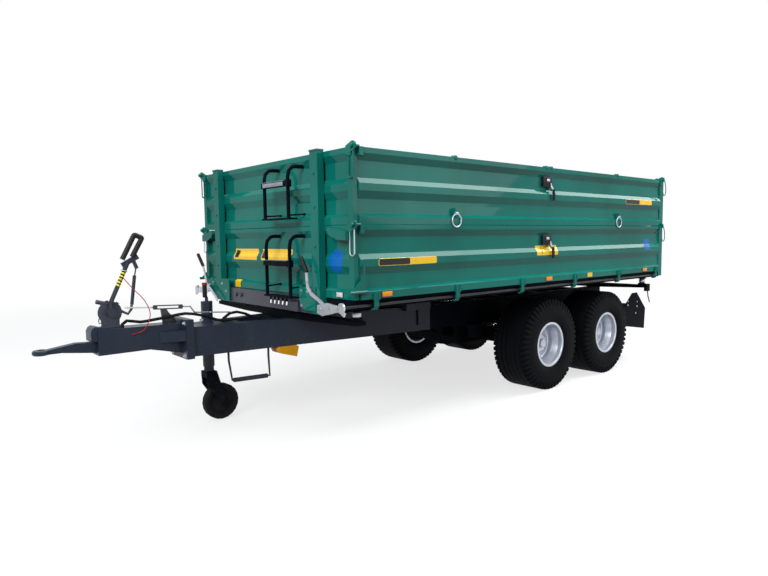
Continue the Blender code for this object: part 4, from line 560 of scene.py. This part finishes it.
# Washer, nut and stud: from, to, radius, end radius and sides
NUT_PIECES = (
    (0.000, 0.005, 0.0165, 0.0165, 20),
    (0.005, 0.021, 0.0128, 0.0120, 6),
    (0.021, 0.031, 0.0070, 0.0062, 12),
)
SIDEWALL = (
    (0.197, 0.1570),
    (0.213, 0.1676),
    (0.2165, 0.1706),
    (0.222, 0.1760),
    (0.229, 0.1800),
    (0.2325, 0.1796),
    (0.236, 0.1832),
    (0.255, 0.1886),
    (0.2745, 0.1920),
    (0.300, 0.1936),
    (0.337, 0.1940),
    (0.342, 0.1922),
    (0.350, 0.1922),
)
# radius, offset, and how far a shoulder slot takes each of them back
SHOULDER = (
    (0.370, 0.1896, 0.000, 0.003),
    (0.392, 0.1868, 0.002, 0.011),
    (0.412, 0.1828, 0.004, 0.014),
    (0.427, 0.1780, 0.008, 0.014),
    (0.434, 0.1715, 0.014, 0.010),
    (0.4366, 0.1620, 0.015, 0.004),
    (0.437, 0.1400, 0.013, 0.000),
)
RIBS = ((0.128, 0.082), (0.072, 0.028), (0.018, 0.0))


def tyre_section(slot):
    """(radius, offset) points round the section; slot is 1 in a shoulder slot and 0 on a block."""
    half = list(SIDEWALL)
    half += [(radius - down * slot, out - back * slot) for radius, out, down, back in SHOULDER]
    before, after = GROOVE_SLOPES
    for outer, inner in RIBS:
        half += [(TYRE_R - GROOVE, outer + before), (TYRE_R, outer)]
        if inner:
            half += [(TYRE_R, inner), (TYRE_R - GROOVE, inner - after)]
    return half + [(radius, -out) for radius, out in reversed(half)]


def round_axle(centre, radius, out, turn):
    return centre + Vector((out, radius * math.cos(turn), radius * math.sin(turn)))


def make_tyre(wheel):
    """Tyre with grooved tread, slotted shoulders and rings moulded on its sidewalls."""
    name = "tyre_" + wheel
    low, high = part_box(name)
    centre = (low + high) / 2
    block, slot = tyre_section(0), tyre_section(1)
    rows = []
    for i, turn in enumerate(full_turn(TREAD_BLOCKS * STEPS_PER_BLOCK)):
        section = slot if i % STEPS_PER_BLOCK < SLOT_STEPS else block
        rows.append([round_axle(centre, radius, out, turn) for radius, out in section])
    shape = bmesh.new()
    add_grid(shape, rows)
    add(name + "_tread", shape, "tyre_rubber", "wheel_" + wheel, replaced=[name])


RIM_PROFILE = (
    (0.0000, 0.0950),
    (0.0340, 0.0950),
    (0.0405, 0.0935),
    (0.0440, 0.0870),
    (0.0440, 0.0660),
    (0.0455, 0.0630),
    (0.0480, 0.0612),
    (0.0790, 0.0610),
    (0.0830, 0.0570),
    (0.0830, 0.0320),
    (0.0845, 0.0285),
    (0.0900, 0.0262),
    (0.1240, 0.0262),
    (0.1270, 0.0290),
    (0.1320, 0.0290),
    (0.1350, 0.0262),
    (0.1540, 0.0262),
    (0.1590, 0.0290),
    (0.1630, 0.0350),
    (0.1630, 0.0790),
    (0.1650, 0.0830),
    (0.1710, 0.0760),
    (0.1850, 0.0890),
    (0.1890, 0.0930),
    (0.1900, 0.1010),
    (0.1880, 0.1060),
    (0.1930, 0.1120),
    (0.1950, 0.1560),
    (0.1930, 0.1640),
    (0.1915, 0.1700),
    (0.1935, 0.1735),
    (0.2090, 0.1750),
    (0.2145, 0.1735),
    (0.2145, 0.1692),
    (0.2000, 0.1660),
    (0.1958, 0.1580),
    (0.1955, 0.1300),
    (0.1700, 0.0880),
    (0.1680, -0.1100),
    (0.1955, -0.1300),
    (0.1958, -0.1580),
    (0.2000, -0.1660),
    (0.2145, -0.1692),
    (0.2145, -0.1735),
    (0.2090, -0.1750),
    (0.1935, -0.1735),
    (0.1915, -0.1700),
    (0.1935, -0.1600),
    (0.1935, -0.1400),
    (0.1850, -0.1360),
    (0.1690, -0.1120),
    (0.1630, -0.1060),
    (0.1630, 0.0080),
    (0.1600, 0.0142),
    (0.0000, 0.0142),
)


def make_rim(wheel):
    """Deep-dished rim turned in one piece, with its ringed disc, nuts, hub cap and valve."""
    low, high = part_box("tyre_" + wheel)
    centre = (low + high) / 2
    side = 1 if centre.x > 0 else -1
    outward = Vector((side, 0, 0))
    body = "wheel_" + wheel
    shape = bmesh.new()
    rings = []
    for radius, out in RIM_PROFILE:
        ring = [round_axle(centre, radius, out * side, turn) for turn in full_turn(RIM_STEPS)]
        rings.append([shape.verts.new(point) for point in ring])
    for first, second in zip(rings, rings[1:]):
        for k in range(RIM_STEPS):
            n = (k + 1) % RIM_STEPS
            shape.faces.new((first[k], first[n], second[n], second[k]))
    bmesh.ops.remove_doubles(shape, verts=rings[0] + rings[-1], dist=1e-6)
    add(f"rim_{wheel}_turned", shape, "silver", body, replaced=["rim_" + wheel])

    shape = bmesh.new()
    for i in range(NUTS):
        turn = math.radians(30 + 360 / NUTS * i)
        foot = round_axle(centre, NUT_CIRCLE, DISC_FACE * side, turn)
        for start, end, radius, end_radius, sides in NUT_PIECES:
            add_rod(shape, foot + outward * start, foot + outward * end, radius, end_radius, sides)
    for i in range(HUB_SCREWS):
        turn = math.radians(90 + 360 / HUB_SCREWS * i)
        foot = round_axle(centre, HUB_SCREW_CIRCLE, HUB_FACE * side, turn)
        add_bolt(shape, foot, outward, 0.0065, washer=False)
    add(f"wheel_nuts_{wheel}", shape, "zinc", body)

    shape = bmesh.new()
    foot = round_axle(centre, 0.1590, 0.045 * side, VALVE_TURN)
    tip = round_axle(centre, 0.1400, 0.092 * side, VALVE_TURN)
    waist = foot.lerp(tip, 0.55)
    add_rod(shape, foot, waist, 0.0060, 0.0050)
    add_rod(shape, waist, tip, 0.0064)
    add(f"valve_{wheel}", shape, "grip", body)


# Plates and reflectors on the ribbed walls

CORNER_STEPS = (0.02, 0.1, 0.25, 0.45, 0.7, 1.0)
FILM_SINK = 0.0004
RIM_LIFT = 0.0004
FILM_LIFT = 0.0008
MARK_LIFT = 0.0012
# A reflector's holder and lens: how far each grows past the lens, and where it starts and ends
HOLDER = (0.004, -0.001, 0.003)
LENS = (0.0, 0.003, 0.0068)
REAR_LENSES = (
    ("tail", "red_lens", 0.790, 0.944),
    ("turn", "amber", 0.750, 0.788),
    ("clear", "white_lens", 0.712, 0.748),
)
TRIANGLE_X = 0.600
TRIANGLE_HALF = 0.070
FRONT_REFLECTOR_X = 1.000


def rib_depth(z):
    """How far the ribbed face lies behind the outermost one at a height."""
    foot = TIER_FEET[1] if z >= TIER_FEET[1] else TIER_FEET[0]
    height = z - foot
    for (low, first), (high, second) in zip(RIB_FACE, RIB_FACE[1:]):
        if low <= height <= high:
            return first + (second - first) * (height - low) / (high - low)
    return 0.0


def on_wall(wall, out, along, z):
    """A point that stands out from the outermost face of a wall: left, right or front."""
    if wall in SIDES:
        return place(SIDES[wall] * (SIDE + out), along, z)
    return place(along, -out, z)


def add_film(shape, wall, middle, width, low, high, corner=0.010, lift=FILM_LIFT):
    """A film with round corners that follows the ribs of a wall."""
    foot = TIER_FEET[1] if low >= TIER_FEET[1] else TIER_FEET[0]
    levels = {low, high, *(foot + h for h, _ in RIB_FACE if low < foot + h < high)}
    for share in CORNER_STEPS:
        levels |= {low + corner * share, high - corner * share}
    outer, inner = [], []
    for z in sorted(levels):
        past = max(0.0, low + corner - z, z - high + corner)
        half = width / 2 - corner + math.sqrt(max(0.0, corner**2 - past**2))
        for rows, out in ((outer, lift), (inner, -FILM_SINK)):
            ends = (middle - half, middle + half)
            rows.append([on_wall(wall, out - rib_depth(z), along, z) for along in ends])
    skins = [[[shape.verts.new(point) for point in row] for row in rows] for rows in (outer, inner)]
    for skin in skins:
        for first, second in zip(skin, skin[1:]):
            shape.faces.new((first[0], first[1], second[1], second[0]))
    front, back = skins
    for i in range(len(front) - 1):
        for k in (0, 1):
            shape.faces.new((front[i][k], front[i + 1][k], back[i + 1][k], back[i][k]))
    for i in (0, -1):
        shape.faces.new((front[i][0], front[i][1], back[i][1], back[i][0]))


def film(name, finish, *where):
    """A film on the body; where is what add_film takes."""
    shape = bmesh.new()
    add_film(shape, *where)
    add(name, shape, finish, "bed", smooth=False)


def two_colour_plate(name, side, start, end, low, high):
    """Blank oblong plate on a side wall: black in front, yellow behind and round the edge."""
    split = start + (end - start) * 0.52
    for part, finish, first, last, inset, corner, lift in (
        ("rim", "plate_yellow", start, end, 0.0, 0.014, RIM_LIFT),
        ("black", "plate_black", start + 0.005, split, 0.004, 0.011, FILM_LIFT),
        ("yellow", "plate_yellow", split, end - 0.005, 0.004, 0.011, FILM_LIFT),
    ):
        middle, width = (first + last) / 2, last - first
        film(f"{name}_{part}", finish, side, middle, width, low + inset, high - inset, corner, lift)


def reflector(name, finish, wall, middle, width, z, height):
    """Moulded lens in a black holder, standing off the wall."""
    depth = rib_depth(z)
    for part, kind, (grow, start, end) in (("holder", "grip", HOLDER), ("lens", finish, LENS)):
        half, tall = width / 2 + grow, height / 2 + grow
        shape = bmesh.new()
        low = on_wall(wall, start - depth, middle - half, z - tall)
        high = on_wall(wall, end - depth, middle + half, z + tall)
        add_box(shape, low, high, edge=0.0016)
        add(f"{name}_{part}", shape, kind, "bed")


def make_plates():
    """Blank plates, signs and reflectors where the photograph shows printed ones."""
    for side in SIDES:
        two_colour_plate(f"plate_lower_{side}", side, 0.208, 0.785, 1.2815, 1.3345)
        two_colour_plate(f"plate_upper_{side}", side, 3.652, 4.239, 1.7990, 1.8520)
        film(f"sign_yellow_{side}", "plate_yellow", side, 2.235, 0.330, 1.300, 1.388)
        film(f"sign_line_{side}", "plate_black", side, 2.150, 0.006, 1.306, 1.382, 0.002, MARK_LIFT)
        film(f"sign_blue_{side}", "plate_blue", side, 4.167, 0.120, 1.300, 1.424)
        for i, y in enumerate((0.278, 2.254, 4.097)):
            reflector(f"reflector_{side}_{i}", "amber", side, y, 0.092, 1.083, 0.036)
        film(f"square_yellow_{side}", "plate_yellow", side, 2.959, 0.086, 1.063, 1.104, 0.004)
    film("front_label_yellow", "plate_yellow", "front", -0.520, 0.100, 1.060, 1.126, 0.004)
    film("front_sign_far", "plate_yellow", "front", -0.3775, 0.415, 1.305, 1.398)
    film("front_sign_near", "plate_yellow", "front", 0.130, 0.460, 1.305, 1.398)
    for i, (x, width) in enumerate(((-0.530, 0.070), (-0.060, 0.060))):
        name = f"front_sign_mark_{i}"
        film(name, "plate_black", "front", x, width, 1.322, 1.384, 0.004, MARK_LIFT)
    film("front_disc_blue", "plate_blue", "front", 0.948, 0.170, 1.234, 1.404, 0.085)
    for side, sign in reversed(SIDES.items()):
        x = sign * FRONT_REFLECTOR_X
        reflector(f"front_reflector_{side}", "white_lens", "front", x, 0.070, 1.085, 0.034)
    for side, sign in SIDES.items():
        make_rear_lamps(side, sign)


def make_rear_lamps(side, sign):
    """Lenses on a lamp box of the rear bumper, and the red triangle beside it."""
    for name, finish, near, far in REAR_LENSES:
        shape = bmesh.new()
        low, high = place(sign * near, 4.4965, 0.410), place(sign * far, 4.5030, 0.524)
        add_box(shape, low, high, edge=0.003)
        add(f"lamp_{name}_{side}", shape, finish, "chassis")
    shape = bmesh.new()
    middle = sign * TRIANGLE_X
    outline = [(middle - TRIANGLE_HALF, 0.410), (middle + TRIANGLE_HALF, 0.410), (middle, 0.530)]
    add_slab(shape, outline, "Y", FRONT + 4.5016, FRONT + 4.5060)
    add(f"rear_triangle_{side}", shape, "red_lens", "chassis", smooth=False)


# Fittings of the walls

FORWARDS = (0, -1, 0)
LATCH_Y = 2.22
LATCH_DROP = 0.129
LATCH_PLATE = 0.0075
LATCH_SCREWS = ((-0.026, -0.026), (-0.026, 0.028), (0.044, 0.028))
SPINDLE = (0.030, -0.020)
ARM_END = (0.072, -0.074)
ARM_HALF = 0.0108
RING_PLACES = (1.0, 3.5)
RING_Z = 1.6045
RING_RADIUS = 0.0500
RING_WIRE = 0.0058
RING_BLOCK = 0.0138
STUD_PLACES = (1.0, 2.206, 2.284, 3.472)
STUD_Z = 2.086
CLIP_X = 1.157
CLIP_Y = -0.0072
CLIP_LEG = 0.025
CLIP_BEND = 0.022
REAR_CLIP_BENDS = (
    (1.181, 4.4795, 0.000),
    (1.183, 4.4900, 0.004),
    (1.192, 4.5060, -0.010),
    (1.198, 4.5180, -0.045),
    (1.201, 4.5260, -0.100),
    (1.200, 4.5240, -0.150),
    (1.194, 4.5140, -0.176),
    (1.186, 4.5020, -0.170),
    (1.184, 4.4960, -0.146),
)
RUNGS = (("upper", 1.8845), ("lower", 1.296))


def make_latch(name, side, z):
    """Sprung latch in a recess of a side wall: black frame, plate and grip, zinc spindle, arm."""
    sign = SIDES[side]

    def at(out, along, up):
        return on_wall(side, out, LATCH_Y + along, z + up)

    shape = bmesh.new()
    add_box(shape, at(-0.027, -0.0658, -0.0458), at(0.0048, 0.0658, 0.0458), edge=0.003)
    add(name + "_frame", shape, "grip", "bed")

    shape = bmesh.new()
    add_box(shape, at(0.0044, -0.034, -0.034), at(LATCH_PLATE, 0.052, 0.036), edge=0.0012)
    for along, up in LATCH_SCREWS:
        add_bolt(shape, at(LATCH_PLATE, along, up), (sign, 0, 0), 0.0045, washer=False)
    add_rod(shape, at(LATCH_PLATE, *SPINDLE), at(0.0150, *SPINDLE), 0.0135, sides=6)
    add(name + "_plate", shape, "grip", "bed")

    shape = bmesh.new()
    add_rod(shape, at(0.0150, *SPINDLE), at(0.0186, *SPINDLE), 0.0085, sides=20)
    add_box(shape, at(0.0070, -0.020, 0.004), at(0.0092, 0.024, 0.026), edge=0.001)
    add(name + "_spindle", shape, "zinc", "bed")

    start, end = Vector(SPINDLE), Vector(ARM_END)
    along = (end - start).normalized()
    across = Vector((-along.y, along.x)) * ARM_HALF
    outline = [start + across - along * 0.006, end + across + along * 0.004]
    outline += [end - across + along * 0.004, start - across - along * 0.006]
    outline = [(FRONT + LATCH_Y + a, z + b) for a, b in outline]
    shape = bmesh.new()
    add_slab(shape, outline, "X", sign * (SIDE + 0.0074), sign * (SIDE + 0.0128))
    add(name + "_arm", shape, "zinc", "bed", smooth=False)

    def on_grip(t, further=0.0):
        return at(0.018, 0.070 + 0.006 * t, -0.064 - 0.102 * (t + further))

    shape = bmesh.new()
    add_tube(shape, [on_grip(t) for t in (0, 0.02, 0.3, 0.6, 0.9, 1.0)], 0.0126, sides=20)
    for t in (0.25, 0.40, 0.55, 0.70):
        add_tube(shape, [on_grip(t), on_grip(t, 0.05)], 0.0132, sides=20)
    add(name + "_grip", shape, "grip", "bed")


def make_latches():
    """The latches of both tiers on both sides."""
    for side in SIDES:
        for tier, top in zip(TIERS, TIER_TOPS):
            make_latch(f"latch_{tier}_{side}", side, top - LATCH_DROP)


def make_rings():
    """Lashing rings and their clamped blocks above the hinge line of the upper side walls."""
    for side, sign in SIDES.items():
        for i, y in enumerate(RING_PLACES):
            shape = bmesh.new()
            centre = on_wall(side, 0.0068, y, RING_Z)
            ways = [Vector((0.0, math.cos(t), math.sin(t))) for t in full_turn(48)]
            add_tube(shape, [centre + way * RING_RADIUS for way in ways], RING_WIRE, closed=True)
            add(f"ring_{side}_{i}", shape, "zinc", "bed")

            shape = bmesh.new()
            low = on_wall(side, -0.002, y - 0.019, 1.6502)
            high = on_wall(side, RING_BLOCK, y + 0.019, 1.6690)
            add_box(shape, low, high, edge=0.002)
            for along in (-0.011, 0.011):
                foot = on_wall(side, RING_BLOCK, y + along, 1.6595)
                add_bolt(shape, foot, (sign, 0, 0), 0.0042, washer=False)
            add(f"ring_block_{side}_{i}", shape, "zinc", "bed")


def make_studs():
    """Turned knobs of the load cover, with their necks, along the upper edge of the side walls."""
    for side, sign in SIDES.items():
        shape = bmesh.new()
        for y in STUD_PLACES:
            foot = place(sign * 1.160, y, STUD_Z)
            rim = foot + Vector((sign * 0.022, 0, 0))
            tip = foot + Vector((sign * 0.026, 0, 0))
            add_rod(shape, foot, rim, 0.0192, 0.0185, sides=24)
            add_rod(shape, rim, tip, 0.0185, 0.012, sides=24)
        add(f"cover_studs_{side}", shape, "green", "bed")


def make_clips():
    """Spring wires that lock the front hinge pins of both tiers."""
    for side, sign in SIDES.items():
        for tier, hinge, finish in zip(TIERS, HINGES, ("zinc", "green")):
            top, bend = hinge - 0.034, hinge - 0.1885
            turns = [math.pi * i / 10 for i in range(1, 10)]
            route = [(CLIP_LEG, top), (CLIP_LEG, bend)]
            route += [(CLIP_LEG * math.cos(t), bend - CLIP_BEND * math.sin(t)) for t in turns]
            route += [(-CLIP_LEG, bend), (-CLIP_LEG, top)]
            shape = bmesh.new()
            points = [place(sign * (CLIP_X + x), CLIP_Y, z) for x, z in route]
            add_tube(shape, points, 0.0052, sides=10)
            add(f"hinge_clip_{tier}_{side}", shape, finish, "bed")


def make_rear_clips():
    """Bent wires that hang from the rear hinge pins, and the heads of the pins."""
    for side, sign in SIDES.items():
        shape = bmesh.new()
        for hinge in HINGES:
            knots = [place(sign * x, y, hinge + z) for x, y, z in REAR_CLIP_BENDS]
            add_tube(shape, smooth_route(knots, 0.01), 0.0048, sides=10)
            foot, tip = (place(sign * 1.180, y, hinge) for y in (4.4765, 4.4830))
            add_rod(shape, foot, tip, 0.0100, sides=16)
        add(f"rear_clips_{side}", shape, "green", "bed")


def make_rungs():
    """Serrated non-slip strips on the ladder rungs, with a row of studs before the upper one."""
    for tier, z in RUNGS:
        shape = bmesh.new()
        low, high = place(0.222, -0.1490, z + 0.0185), place(0.528, -0.1160, z + 0.0210)
        add_box(shape, low, high, edge=0.0006)
        for i in range(14):
            x = 0.232 + 0.0213 * i
            for y in (-0.1495, -0.1215):
                low, high = place(x, y, z + 0.019), place(x + 0.011, y + 0.006, z + 0.0245)
                add_box(shape, low, high, edge=0.0008)
        if tier == "upper":
            low, high = place(0.228, -0.1512, z - 0.0150), place(0.522, -0.1496, z + 0.0150)
            add_box(shape, low, high, edge=0.0006)
            for i in range(13):
                x = 0.240 + 0.0225 * i
                foot, tip = place(x, -0.1512, z), place(x, -0.1528, z)
                add_rod(shape, foot, tip, 0.0062, 0.0050, sides=12)
        add(f"ladder_{tier}_grips", shape, "grating", "bed")


# Drawbar, jack and brake fittings

JACK_X = -0.235
CRANK_TOP = 1.1172
STANCHION_SCREW_HEIGHTS = (1.245, 1.420, 1.700, 1.940)
FOOT_PLATE_SCREWS = (
    (0.605, 1.095),
    (0.605, 0.985),
    (0.690, 1.095),
    (-0.885, 1.085),
    (-0.700, 1.085),
    (-0.625, 1.020),
)
BUMPER_SCREWS = ((4.088, 0.714), (4.088, 0.669), (4.302, 0.693), (4.302, 0.640), (4.274, 0.563))
# x, height and size of the left lever's pins; the right one has the outer three, a little higher
LEVER_PINS = (
    (0.752, 1.170, 0.007),
    (0.905, 0.985, 0.009),
    (1.020, 1.000, 0.009),
    (1.131, 1.006, 0.012),
)
RIGHT_PINS_UP = 0.030
LEVER_GRIPS = {
    "left": ((0.672, 1.3445), (0.708, 1.293), (0.741, 1.242)),
    "right": ((-1.110, 1.3435), (-1.057, 1.289), (-1.006, 1.2370)),
}
BRAKE_X = 0.012
BRAKE_LOOP = ((-1.146, 1.352), (-1.057, 1.522), (-1.005, 1.500), (-1.078, 1.368))


def make_jack_parts():
    """Crank grip and its red cap, screws of the clamp and nuts of the jockey wheel's axle."""
    shape = bmesh.new()
    foot, tip = place(-0.240, -0.440, 1.0185), place(-0.240, -0.440, CRANK_TOP)
    add_tube(shape, [foot.lerp(tip, t) for t in (0, 0.04, 0.5, 0.96, 1)], 0.0178, sides=24)
    for i in range(5):
        at = foot.lerp(tip, 0.15 + 0.17 * i)
        add_rod(shape, at, at + Vector((0, 0, 0.006)), 0.0186, sides=24)
    add("crank_grip", shape, "grip", "chassis")

    shape = bmesh.new()
    shoulder, top = tip + Vector((0, 0, 0.0160)), tip + Vector((0, 0, 0.0188))
    add_rod(shape, tip, shoulder, 0.0208, sides=28)
    add_rod(shape, shoulder, top, 0.0208, 0.0165, sides=28)
    add("crank_cap", shape, "red", "chassis")

    shape = bmesh.new()
    for z in (0.655, 0.745, 0.835):
        for x in (-0.024, 0.024):
            add_bolt(shape, place(JACK_X + x, -0.4768, z), FORWARDS, 0.0085)
    add("jack_clamp_screws", shape, "zinc", "chassis")

    shape = bmesh.new()
    for sign in (-1, 1):
        add_bolt(shape, place(JACK_X + sign * 0.0395, -0.340, 0.148), (sign, 0, 0), 0.0150)
    add("jack_axle_nuts", shape, "zinc", "jack_caster")


def make_flange_bolts():
    """Screws of the flange between the overrun housing and the drawbar."""
    shape = bmesh.new()
    for sign in (-1, 1):
        for z in (0.872, 0.634):
            x = sign * 0.118
            add_bolt(shape, place(x, -0.7630, z), FORWARDS, 0.0125)
            add_rod(shape, place(x, -0.7700, z), place(x, -0.7830, z), 0.0070, sides=12)
    add("flange_screws", shape, "zinc", "chassis")


def make_front_bolts():
    """Screws of the stanchions and of their foot plates."""
    shape = bmesh.new()
    for sign in (-1, 1):
        for z in STANCHION_SCREW_HEIGHTS:
            add_bolt(shape, place(sign * 0.785, -0.0556, z), FORWARDS, 0.0080)
    add("stanchion_screws", shape, "green", "bed")
    shape = bmesh.new()
    for x, z in FOOT_PLATE_SCREWS:
        add_bolt(shape, place(x, -0.0634, z), FORWARDS, 0.0090)
    add("foot_plate_screws", shape, "zinc", "bed")


def make_bumper_screws():
    """Screws of the rear bumper's side plates."""
    shape = bmesh.new()
    for sign in (-1, 1):
        for y, z in BUMPER_SCREWS:
            add_bolt(shape, place(sign * 1.0002, y, z), (sign, 0, 0), 0.0078)
    add("bumper_screws", shape, "zinc", "chassis")


def make_seals():
    """Rubber lips on the rear posts that close the running gap beside the rear walls."""
    shape = bmesh.new()
    for sign in (-1, 1):
        for foot, top in ((1.080, 1.550), (1.596, 2.050)):
            low, high = place(sign * 1.046, 4.5085, foot), place(sign * 1.0668, 4.5185, top)
            add_box(shape, low, high, edge=0.002)
    add("rear_wall_seals", shape, "rubber", "bed")


def make_lever_pins():
    """Pins of the locking levers' joints."""
    shape = bmesh.new()
    for i, (x, z, size) in enumerate(LEVER_PINS):
        add_bolt(shape, place(x, -0.1084, z), FORWARDS, size)
        if i > 0:
            add_bolt(shape, place(-x, -0.1084, z + RIGHT_PINS_UP), FORWARDS, size)
    add("lever_pins", shape, "zinc", "bed")


def make_grips():
    """Smooth black sleeves on the locking levers and the handbrake's loop, and the cable's ring."""
    for side, knots in LEVER_GRIPS.items():
        shape = bmesh.new()
        route = smooth_route([place(x, -0.104, z) for x, z in knots], 0.01)
        add_tube(shape, route, 0.0150, sides=20)
        add(f"lever_grip_{side}", shape, "grip", "bed")

    shape = bmesh.new()
    corners = [place(BRAKE_X, y, z) for y, z in BRAKE_LOOP]
    knots = [a.lerp(b, t) for a, b in zip(corners, corners[1:]) for t in (0.08, 0.5, 0.92)]
    add_tube(shape, [corners[0], *smooth_route(knots, 0.006), corners[-1]], 0.0176, sides=20)
    add("brake_grip", shape, "grip", "chassis")

    shape = bmesh.new()
    centre = place(BRAKE_X, -1.137, 1.272)
    route = []
    for t in full_turn(24):
        x, y, z = 0.0185 * math.sin(t), 0.0200 * math.cos(t), -0.008 * math.cos(t)
        route.append(centre + Vector((x, y, z)))
    add_tube(shape, route, 0.0024, sides=8, closed=True)
    add("brake_ring", shape, "zinc", "chassis")


def make_cable():
    """Free red breakaway cable from the handbrake lever down to the overrun housing."""
    curve = bpy.data.curves.new("breakaway_line", "CURVE")
    curve.dimensions = "3D"
    curve.bevel_depth = CABLE_DIAMETER / 2
    curve.bevel_resolution = 4
    curve.use_fill_caps = True
    route = smooth_route([place(*knot) for knot in CABLE_KNOTS], CABLE_SPACING / 3)
    line = curve.splines.new("POLY")
    line.points.add(len(route) - 1)
    for point, at in zip(line.points, route):
        point.co = (*at, 1.0)
    curve.materials.append(FINISHES["red"].material)
    cord = bpy.data.objects.new("breakaway_line", curve)
    bpy.context.scene.collection.objects.link(cord)
    length = sum((b - a).length for a, b in zip(route, route[1:]))
    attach(cord, "chassis")
    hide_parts("breakaway_cable")


# Stage

WHITE = (1.0, 1.0, 1.0, 1.0)
FLOOR_PALE = (0.93, 0.93, 0.93, 1.0)
FLOOR_BOUNCE = (0.07, 0.07, 0.07, 1.0)
# Heights from straight down (0) to straight up (1), and their linear colours
SKY = (
    (0.0, (0.05, 0.06, 0.06)),
    (0.46, (0.10, 0.11, 0.11)),
    (0.53, (0.60, 0.64, 0.68)),
    (1.0, (0.95, 1.0, 1.05)),
)
SKY_STRENGTH = 0.60


def sky():
    """Pale sky that is brighter overhead; the camera and gloss see plain white."""
    world = bpy.data.worlds.new("pale_sky")
    bpy.context.scene.world = world
    world.use_nodes = True
    n = Nodes(world.node_tree)
    split = n.node("SeparateXYZ", inputs={0: n.node("TexCoord").outputs["Generated"]})
    height = n.node("MapRange", inputs={"Value": split.outputs["Z"], "From Min": -1.0})
    tint = n.node("ValToRGB", {"stops": SKY}, {0: height.outputs[0]})
    light = n.node("Background", inputs={"Color": tint.outputs[0], "Strength": SKY_STRENGTH})
    white = n.node("Background", inputs={"Color": WHITE})
    inputs = {0: n.background_rays(), 1: light.outputs[0], 2: white.outputs[0]}
    seen = n.node("MixShader", inputs=inputs)
    n.feed(n.tree.nodes["World Output"].inputs["Surface"], seen.outputs[0])


def floor():
    """Pale floor: near white to the camera and gloss, with its shadow, but dark to other rays."""
    m = Finish("pale_floor")
    m.surface.inputs["Base Color"].default_value = FLOOR_PALE
    m.surface.inputs["Roughness"].default_value = 0.9
    glow = m.node("Emission", inputs={"Color": WHITE})
    far = (m.x * m.x + m.y * m.y).over(16.0, 160.0)
    inputs = {0: far * 0.30 + 0.70, 1: m.surface.outputs[0], 2: glow.outputs[0]}
    lifted = m.node("MixShader", inputs=inputs)
    dim = m.node("BsdfDiffuse", inputs={"Color": FLOOR_BOUNCE})
    inputs = {0: m.background_rays(), 1: dim.outputs[0], 2: lifted.outputs[0]}
    chosen = m.node("MixShader", inputs=inputs)
    m.feed(m.tree.nodes["Material Output"].inputs["Surface"], chosen.outputs[0])
    shape = bmesh.new()
    below = Matrix.Translation((0, 0, -0.001))
    bmesh.ops.create_grid(shape, x_segments=1, y_segments=1, size=60.0, matrix=below)
    mesh = bpy.data.meshes.new("floor")
    shape.to_mesh(mesh)
    shape.free()
    mesh.materials.append(m.material)
    plane = bpy.data.objects.new("floor", mesh)
    bpy.context.scene.collection.objects.link(plane)


def lamp(name, start, target, size, power, long_side=None):
    """Soft disc lamp, or a strip when it has a long side."""
    data = bpy.data.lights.new(name, "AREA")
    data.shape = "RECTANGLE" if long_side else "DISK"
    data.size = size
    if long_side:
        data.size_y = long_side
    data.energy = power
    obj = bpy.data.objects.new(name, data)
    obj.location = start
    obj.rotation_euler = (Vector(target) - Vector(start)).to_track_quat("-Z", "Y").to_euler()
    bpy.context.scene.collection.objects.link(obj)


def camera():
    data = bpy.data.cameras.new("camera")
    data.lens = CAMERA_LENS
    data.sensor_width = CAMERA_SENSOR
    obj = bpy.data.objects.new("camera", data)
    obj.matrix_world = (
        Matrix.Translation(CAMERA_PLACE)
        @ Matrix.Rotation(math.radians(CAMERA_YAW), 4, "Z")
        @ Matrix.Rotation(math.radians(90 + CAMERA_PITCH), 4, "X")
        @ Matrix.Rotation(math.radians(CAMERA_ROLL), 4, "Z")
    )
    bpy.context.scene.collection.objects.link(obj)
    bpy.context.scene.camera = obj


camera()
make_cable()
sky()
floor()
lamp("overhead", (1.5, 1.5, 7.5), (1.5, 1.5, 0.0), 7.0, 560.0, long_side=12.0)
lamp("rib_strip", (3.65, 9.0, 7.0), (3.65, 9.0, 0.0), 1.9, 620.0, long_side=14.0)
lamp("key", (4.2, -9.0, 5.5), (0.0, -1.0, 1.2), 5.0, 680.0)
lamp("fill", (8.0, 6.0, 4.5), (0.0, 1.0, 1.0), 6.0, 140.0)
bpy.context.scene.view_settings.view_transform = "Standard"

finish_frame()
for wheel in WHEELS:
    make_tyre(wheel)
    make_rim(wheel)
make_plates()
make_latches()
make_rings()
make_studs()
make_clips()
make_rear_clips()
make_rungs()
make_jack_parts()
make_flange_bolts()
make_front_bolts()
make_bumper_screws()
make_seals()
make_lever_pins()
make_grips()
